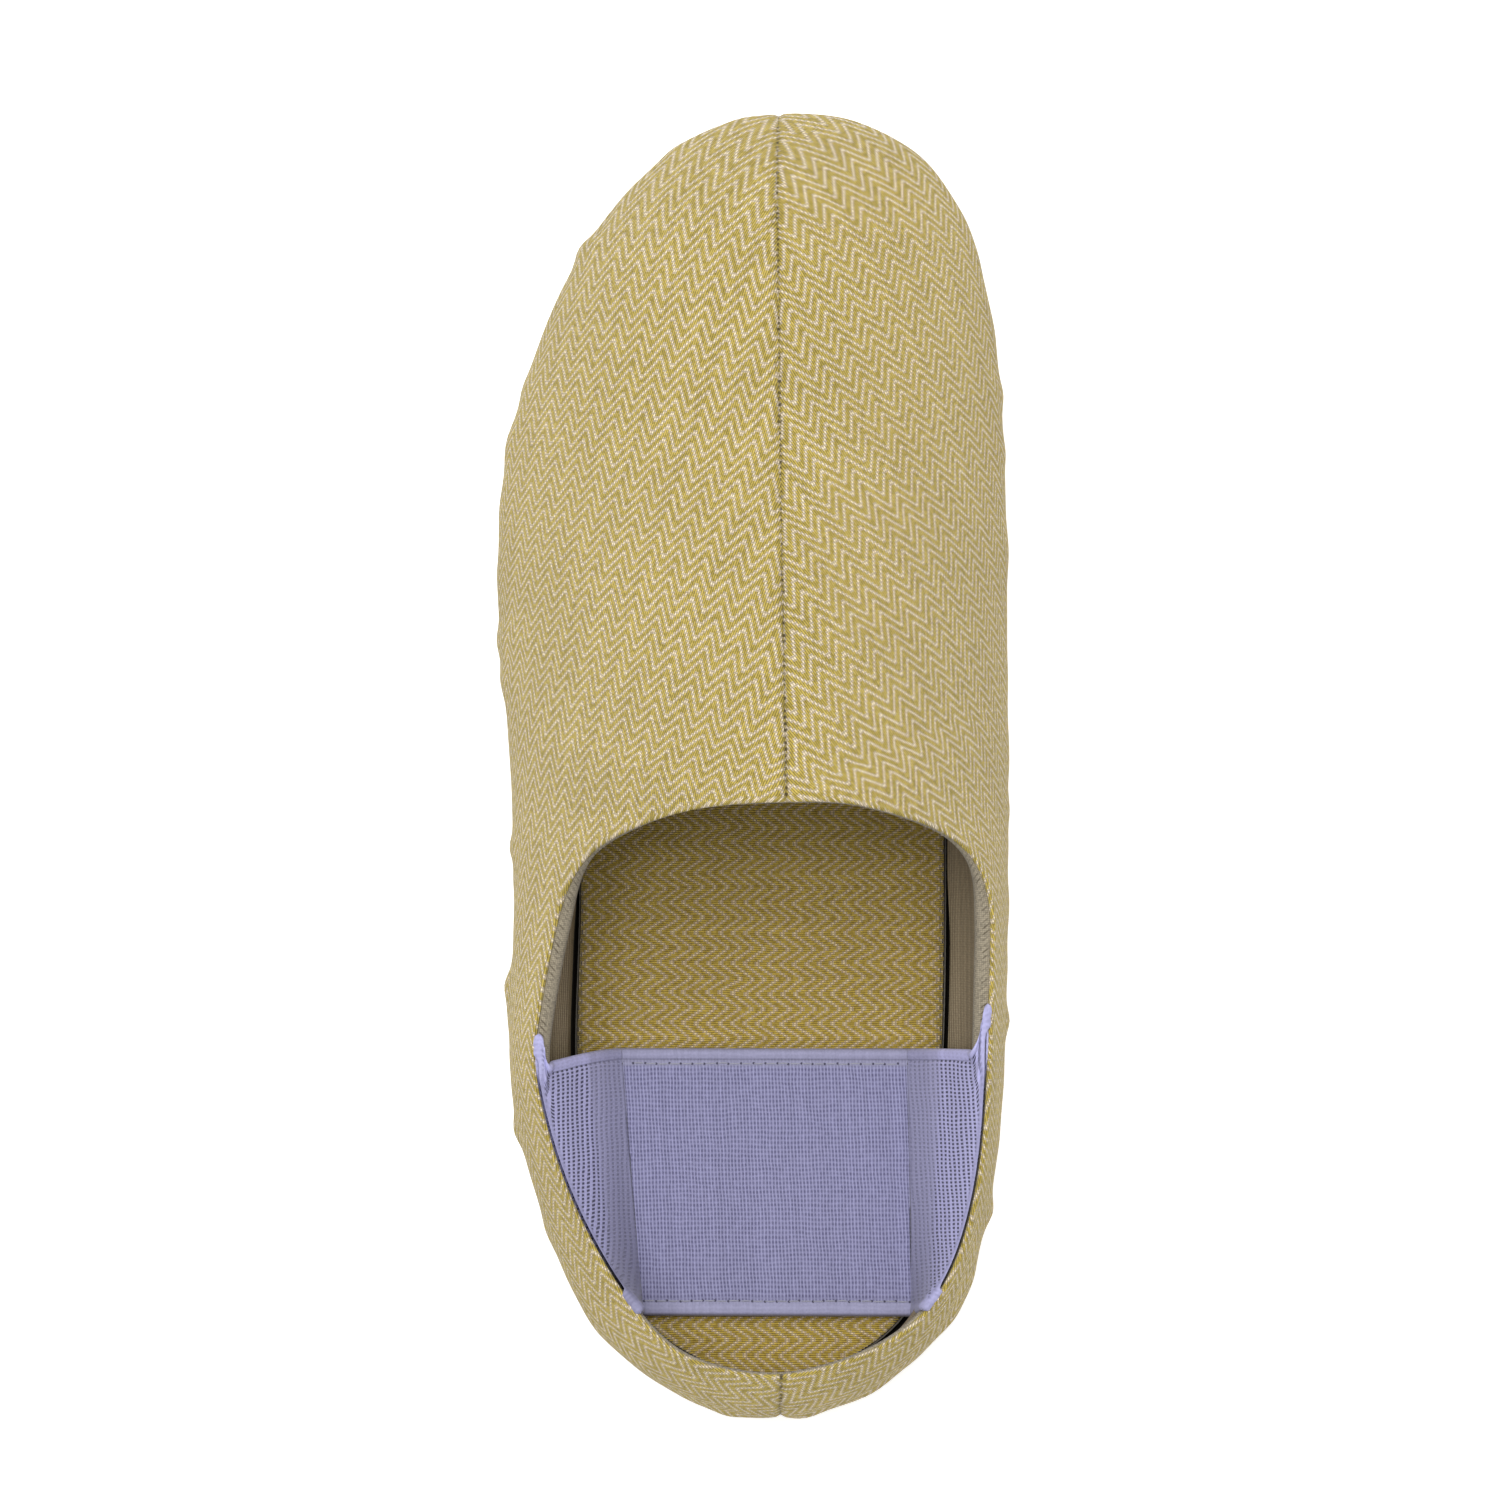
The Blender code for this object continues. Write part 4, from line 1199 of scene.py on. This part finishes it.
def wing_grid(side, share, reach):
    """One wing from the rim down to the flat middle, its front drawn out by reach."""
    rear, front, _, rear_across, front_across, _, _ = WEB_SIDES[side]
    edge, inward, up = rim_frame(side, collar_share())
    at = (rear + (front - rear) * share + reach * smooth_step(share, *TIP_GROWS)) * LENGTH
    base, lean, rise = [
        np.column_stack([np.interp(at, edge[:, 1], column) for column in table.T])
        for table in (edge, inward, up)
    ]
    seam = base + lean * SEAM_LEAN + rise * SEAM_RISE
    across = (rear_across + (front_across - rear_across) * share) * WIDTH
    along = (WEB_REAR + (WEB_FRONT - WEB_REAR) * share) * LENGTH
    level = np.full(len(share), OUTSOLE + GAP + INSOLE + GAP + BAND_THICK / 2)
    corner = np.column_stack([across, along, level])
    whole = corner - seam
    first = seam + whole * np.array(PULL_AT_RIM)
    second = corner - whole * np.array(PULL_AT_PAD)
    t = (np.linspace(0, 1, WING_COLUMNS + 1) ** WING_CROWD)[:, None, None]
    start = (1 - t) ** 3 * seam + 3 * t * (1 - t) ** 2 * first
    grid = start + 3 * t**2 * (1 - t) * second + t**3 * corner
    over, high = rim_shape(side, base[:, 1])
    for _ in range(3):
        away = grid - base
        x = np.sum(away * lean, axis=-1)
        z = np.sum(away * rise, axis=-1)
        columns = [np.interp(x[:, j], over[j], high[j], right=-1) for j in range(len(share))]
        needed = np.column_stack(columns)
        lack = np.clip(needed + WEB_THICK / 2 + RIM_CLEARANCE - z, 0, None)
        lack = np.where(needed < -0.5, 0, lack)
        lack[0] = 0
        grid = grid + rise[None] * lack[..., None]
        smooth = grid.copy()
        smooth[1:-1] = (grid[:-2] + 2 * grid[1:-1] + grid[2:]) / 4
        grid = smooth
    return grid


def wing(side, share):
    """One wing, whose front end runs on along the rim as a narrow tip."""
    _, front, tip, _, _, narrow, wide = WEB_SIDES[side]
    short = wing_grid(side, share, 0)
    long = wing_grid(side, share, tip - front)
    away = np.linalg.norm(np.diff(short, axis=0), axis=-1)
    away = np.vstack([np.zeros((1, len(share))), np.cumsum(away, axis=0)]) / MM
    reach = (tip - front) * LENGTH / MM
    half = narrow / 2
    end = half - np.sqrt(np.clip(half**2 - (away - half) ** 2, 0, None))
    inner = np.clip((wide - away) / (wide - narrow), 0, 1)
    rest = (reach - half) * (1 - np.sqrt(1 - inner**2))
    blend = np.where(away < narrow, reach - end, rest)[..., None] / reach
    return long * blend + short * (1 - blend), short, away


def make_band(finish, thread):
    """Elastic web from rim to rim, with thicker selvedges and its middle padded."""
    share = web_rows()
    (left_wing, left_plain, left_away), (right_wing, right_plain, right_away) = [
        wing(side, share) for side in (OUTER, INNER)
    ]
    s = np.linspace(0, 1, PAD_COLUMNS + 1)[1:-1, None, None]
    pad = left_wing[-1] + (right_wing[-1] - left_wing[-1]) * s
    middle = np.concatenate([left_wing, pad, right_wing[::-1]])
    even = np.concatenate([left_plain, pad, right_plain[::-1]])
    from_rim = np.concatenate([left_away, np.full(pad.shape[:2], ON_THE_PAD), right_away[::-1]])
    lines = len(middle)
    up = unit(np.cross(np.gradient(even, axis=0), np.gradient(even, axis=1)))
    away = np.linalg.norm(np.diff(middle, axis=1), axis=-1)
    from_rear = np.column_stack([np.zeros(lines), np.cumsum(away, axis=1)]) / MM
    from_front = from_rear[:, -1:] - from_rear
    nearest = np.minimum(from_rear, from_front)
    run = np.linalg.norm(np.diff(even[..., :2], axis=0), axis=-1)
    u = np.vstack([np.zeros((1, run.shape[1])), np.cumsum(run, axis=0)]) / MM
    left, right = u[WING_COLUMNS], u[WING_COLUMNS + PAD_COLUMNS]
    centre = (left + right) / 2
    outside = np.maximum(left - u, u - right)
    flatness = 1 - smooth_step(outside, -1.5, 3.0)
    thick = WEB_THICK + (BAND_THICK - WEB_THICK) * flatness
    roll = 1 + 0.10 * (1 - smooth_step(nearest, 1.2, 2.2))
    notch = np.where(from_front < from_rear, 0.30, 0.16) * np.exp(-(((nearest - 2.35) / 0.25) ** 2))
    sewn = 0.20 * flatness * np.exp(-(((nearest - 3.1) / 0.45) ** 2))
    end = np.sqrt(1 - (1 - np.clip(nearest / 0.9, 0, 1)) ** 2)
    half = thick / 2 * end
    relief = half * (roll - notch - sewn)
    top = middle + up * relief[..., None]
    below = middle - up * half[..., None]
    loop = np.concatenate([top, below[:, ::-1], top[:, :1]], axis=1)
    pull = WING_STRETCH * np.clip(outside, 0, None) * np.sign(u - centre)
    v = np.broadcast_to((WEB_REAR + (WEB_FRONT - WEB_REAR) * share) * LENGTH / MM, u.shape)

    def round_the_edge(first, second):
        flat = np.stack([first, second], axis=-1)
        return np.concatenate([flat, flat[:, ::-1], flat[:, :1]], axis=1)

    maps = {
        "cloth_mm": [round_the_edge(u - centre - pull, v)],
        "edge_mm": [round_the_edge(from_front, from_rear)],
        "wing_mm": [round_the_edge(outside, from_rim)],
    }
    piece = grid_piece("heel_band_web", [loop], maps, [False])
    weld(piece, WEB_WELD)
    fit(piece, finish, "elastic", "heel_band")
    return piece, make_stitches(top, up, u - centre, from_front, from_rear, thread)


def make_stitches(top, up, u, from_front, from_rear, finish):
    """Thread of the two rows of stitches, lying from one needle hole to the next."""
    rng = np.random.default_rng(5)
    pad = slice(WING_COLUMNS, WING_COLUMNS + PAD_COLUMNS + 1)
    grids = []
    for away, place in ((from_front, STITCH_FRONT_MM), (from_rear, STITCH_REAR_MM)):
        index = np.arange(away.shape[1])
        rows = [np.interp(place, *ordered(line, index)) for line in away[pad]]
        spot = at_rows(top[pad], rows)
        lift_at = at_rows(up[pad], rows)
        across = at_rows(u[pad][..., None], rows)[:, 0]
        first = math.ceil((across[0] + STITCH_END_MM) / STITCH_MM)
        last = math.floor((across[-1] - STITCH_END_MM) / STITCH_MM)
        for number in range(first, last):
            t = np.linspace(0, 1, 13)
            share = 0.08 + 0.84 * t
            place_at = (number + 0.08 + 0.84 * t) * STITCH_MM
            line = np.column_stack([np.interp(place_at, across, c) for c in spot.T])
            away_from = np.column_stack([np.interp(place_at, across, c) for c in lift_at.T])
            slack = rng.uniform(-0.00012, 0.00012)
            line = line + away_from * (0.00022 * np.sin(math.pi * t) ** 0.6 - 0.00010)[:, None]
            line[:, 1] += slack * np.sin(math.pi * t) + rng.uniform(-0.00006, 0.00006)
            grids.append(tube(line, THREAD_RADIUS * np.sin(math.pi * share) ** 0.3, THREAD_SIDES))
    maps = {"cloth_mm": [running_length(grid) for grid in grids]}
    piece = grid_piece("band_stitches", grids, maps, [False] * len(grids))
    return fit(piece, finish, "elastic")


def at_rows(lines, rows):
    """Values of every line of a grid at its own row, which may lie between two rows."""
    index = np.arange(lines.shape[1])
    return np.array([[np.interp(r, index, c) for c in line.T] for line, r in zip(lines, rows)])


def ordered(keys, values):
    """Keys in rising order with their values."""
    order = np.argsort(keys)
    return keys[order], np.asarray(values)[order]


def tube(line, radius, sides):
    """Grid of points round a line, with a radius for every point of it."""
    run = unit(np.gradient(line, axis=0))
    across = unit(np.cross(run, [0.0, 0.0, 1.0]))
    up = np.cross(across, run)
    turn = np.linspace(0, 2 * math.pi, sides + 1)
    ring = across[:, None] * np.cos(turn)[:, None] + up[:, None] * np.sin(turn)[:, None]
    return line[:, None] + ring * np.broadcast_to(radius, len(line))[:, None, None]


def make_camera():
    """Camera at the place and distance that the picture was taken from."""
    data = bpy.data.cameras.new("camera")
    camera = bpy.data.objects.new("camera", data)
    bpy.context.scene.collection.objects.link(camera)
    camera.location = CAMERA
    look = Vector(AIM) - Vector(CAMERA)
    back = -look.normalized()
    right = Vector((1, 0, 0))
    right = (right - back * right.dot(back)).normalized()
    up = back.cross(right)
    turn = Matrix((right, up, back)).transposed()
    camera.rotation_mode = "QUATERNION"
    camera.rotation_quaternion = turn.to_quaternion()
    data.sensor_width = 36
    data.lens = LENS
    data.clip_start = 0.05
    data.clip_end = 10
    bpy.context.scene.camera = camera


def make_studio():
    """White floor, overhead soft box and an even surround."""
    scene = bpy.context.scene
    scene.view_settings.view_transform = "Standard"
    world = bpy.data.worlds.new("studio")
    world.use_nodes = True
    world.node_tree.nodes["Background"].inputs["Color"].default_value = (1, 1, 1, 1)
    world.node_tree.nodes["Background"].inputs["Strength"].default_value = WORLD_STRENGTH
    scene.world = world
    lamp = bpy.data.lights.new("overhead", "AREA")
    lamp.shape = "RECTANGLE"
    lamp.size = lamp.size_y = LAMP_SIZE
    lamp.energy = LAMP_POWER
    holder = bpy.data.objects.new("overhead", lamp)
    holder.location = LAMP_AT
    holder.rotation_mode = "QUATERNION"
    holder.rotation_quaternion = (Vector((0, 0, 0)) - holder.location).to_track_quat("-Z", "Y")
    scene.collection.objects.link(holder)
    mesh = bpy.data.meshes.new("floor")
    corners = [(x * FLOOR_HALF, y * FLOOR_HALF, 0) for x, y in ((-1, -1), (1, -1), (1, 1), (-1, 1))]
    mesh.from_pydata(corners, [], [(0, 1, 2, 3)])
    floor = bpy.data.objects.new("floor", mesh)
    scene.collection.objects.link(floor)
    white = Shader("floor_white", 0.9)
    speck = white.ramp(white.noise(30.0), 0.2, 0.8)
    white.base.inputs["Emission Color"].default_value = (1, 1, 1, 1)
    white.base.inputs["Emission Strength"].default_value = FLOOR_GLOW
    mesh.materials.append(white.finish(white.mix(speck, (0.88, 0.88, 0.88), (0.90, 0.90, 0.90))))


make_camera()
make_studio()
yellows = (0.32, 0.245, 0.050), (0.49, 0.375, 0.090)
lights = (0.66, 0.54, 0.375), (0.75, 0.64, 0.45)
# The insole's yarns are the upper's, painted darker and more orange: partly their own tone, partly
# painted shade and painted yellow bounce light inside the shoe.
insole_shaded_yellows = (0.29, 0.20, 0.033), (0.42, 0.30, 0.055)
insole_shaded_light_yarns = (0.52, 0.39, 0.235), (0.60, 0.475, 0.28)
upper = make_upper(herringbone("upper_herringbone", yellows, lights, seams=True))
facing = make_facing(facing_cloth("facing_cloth", (0.07, 0.055, 0.035), (0.335, 0.29, 0.21)))
lining = make_lining(lining_cloth("lining_cloth", (0.15, 0.11, 0.065), (0.33, 0.275, 0.18)))
insole = make_insole(
    herringbone("insole_herringbone", insole_shaded_yellows, insole_shaded_light_yarns),
    plain("insole_core", (0.42, 0.40, 0.35)),
)
band, stitches = make_band(
    elastic_web(
        "elastic_web",
        # Web colours: shade painted in the wings' gaps, the yarn, the plain creases, and deeper
        # shade painted in the pad's gaps.
        (0.100, 0.096, 0.190),
        (0.245, 0.240, 0.385),
        (0.235, 0.230, 0.315),
        (0.070, 0.066, 0.130),
    ),
    plain("band_thread", (0.30, 0.30, 0.36), 0.6, 5000.0),
)
rubber = plain("sole_rubber", (0.30, 0.26, 0.20))
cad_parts["outsole"].data.materials.clear()
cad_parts["outsole"].data.materials.append(rubber)
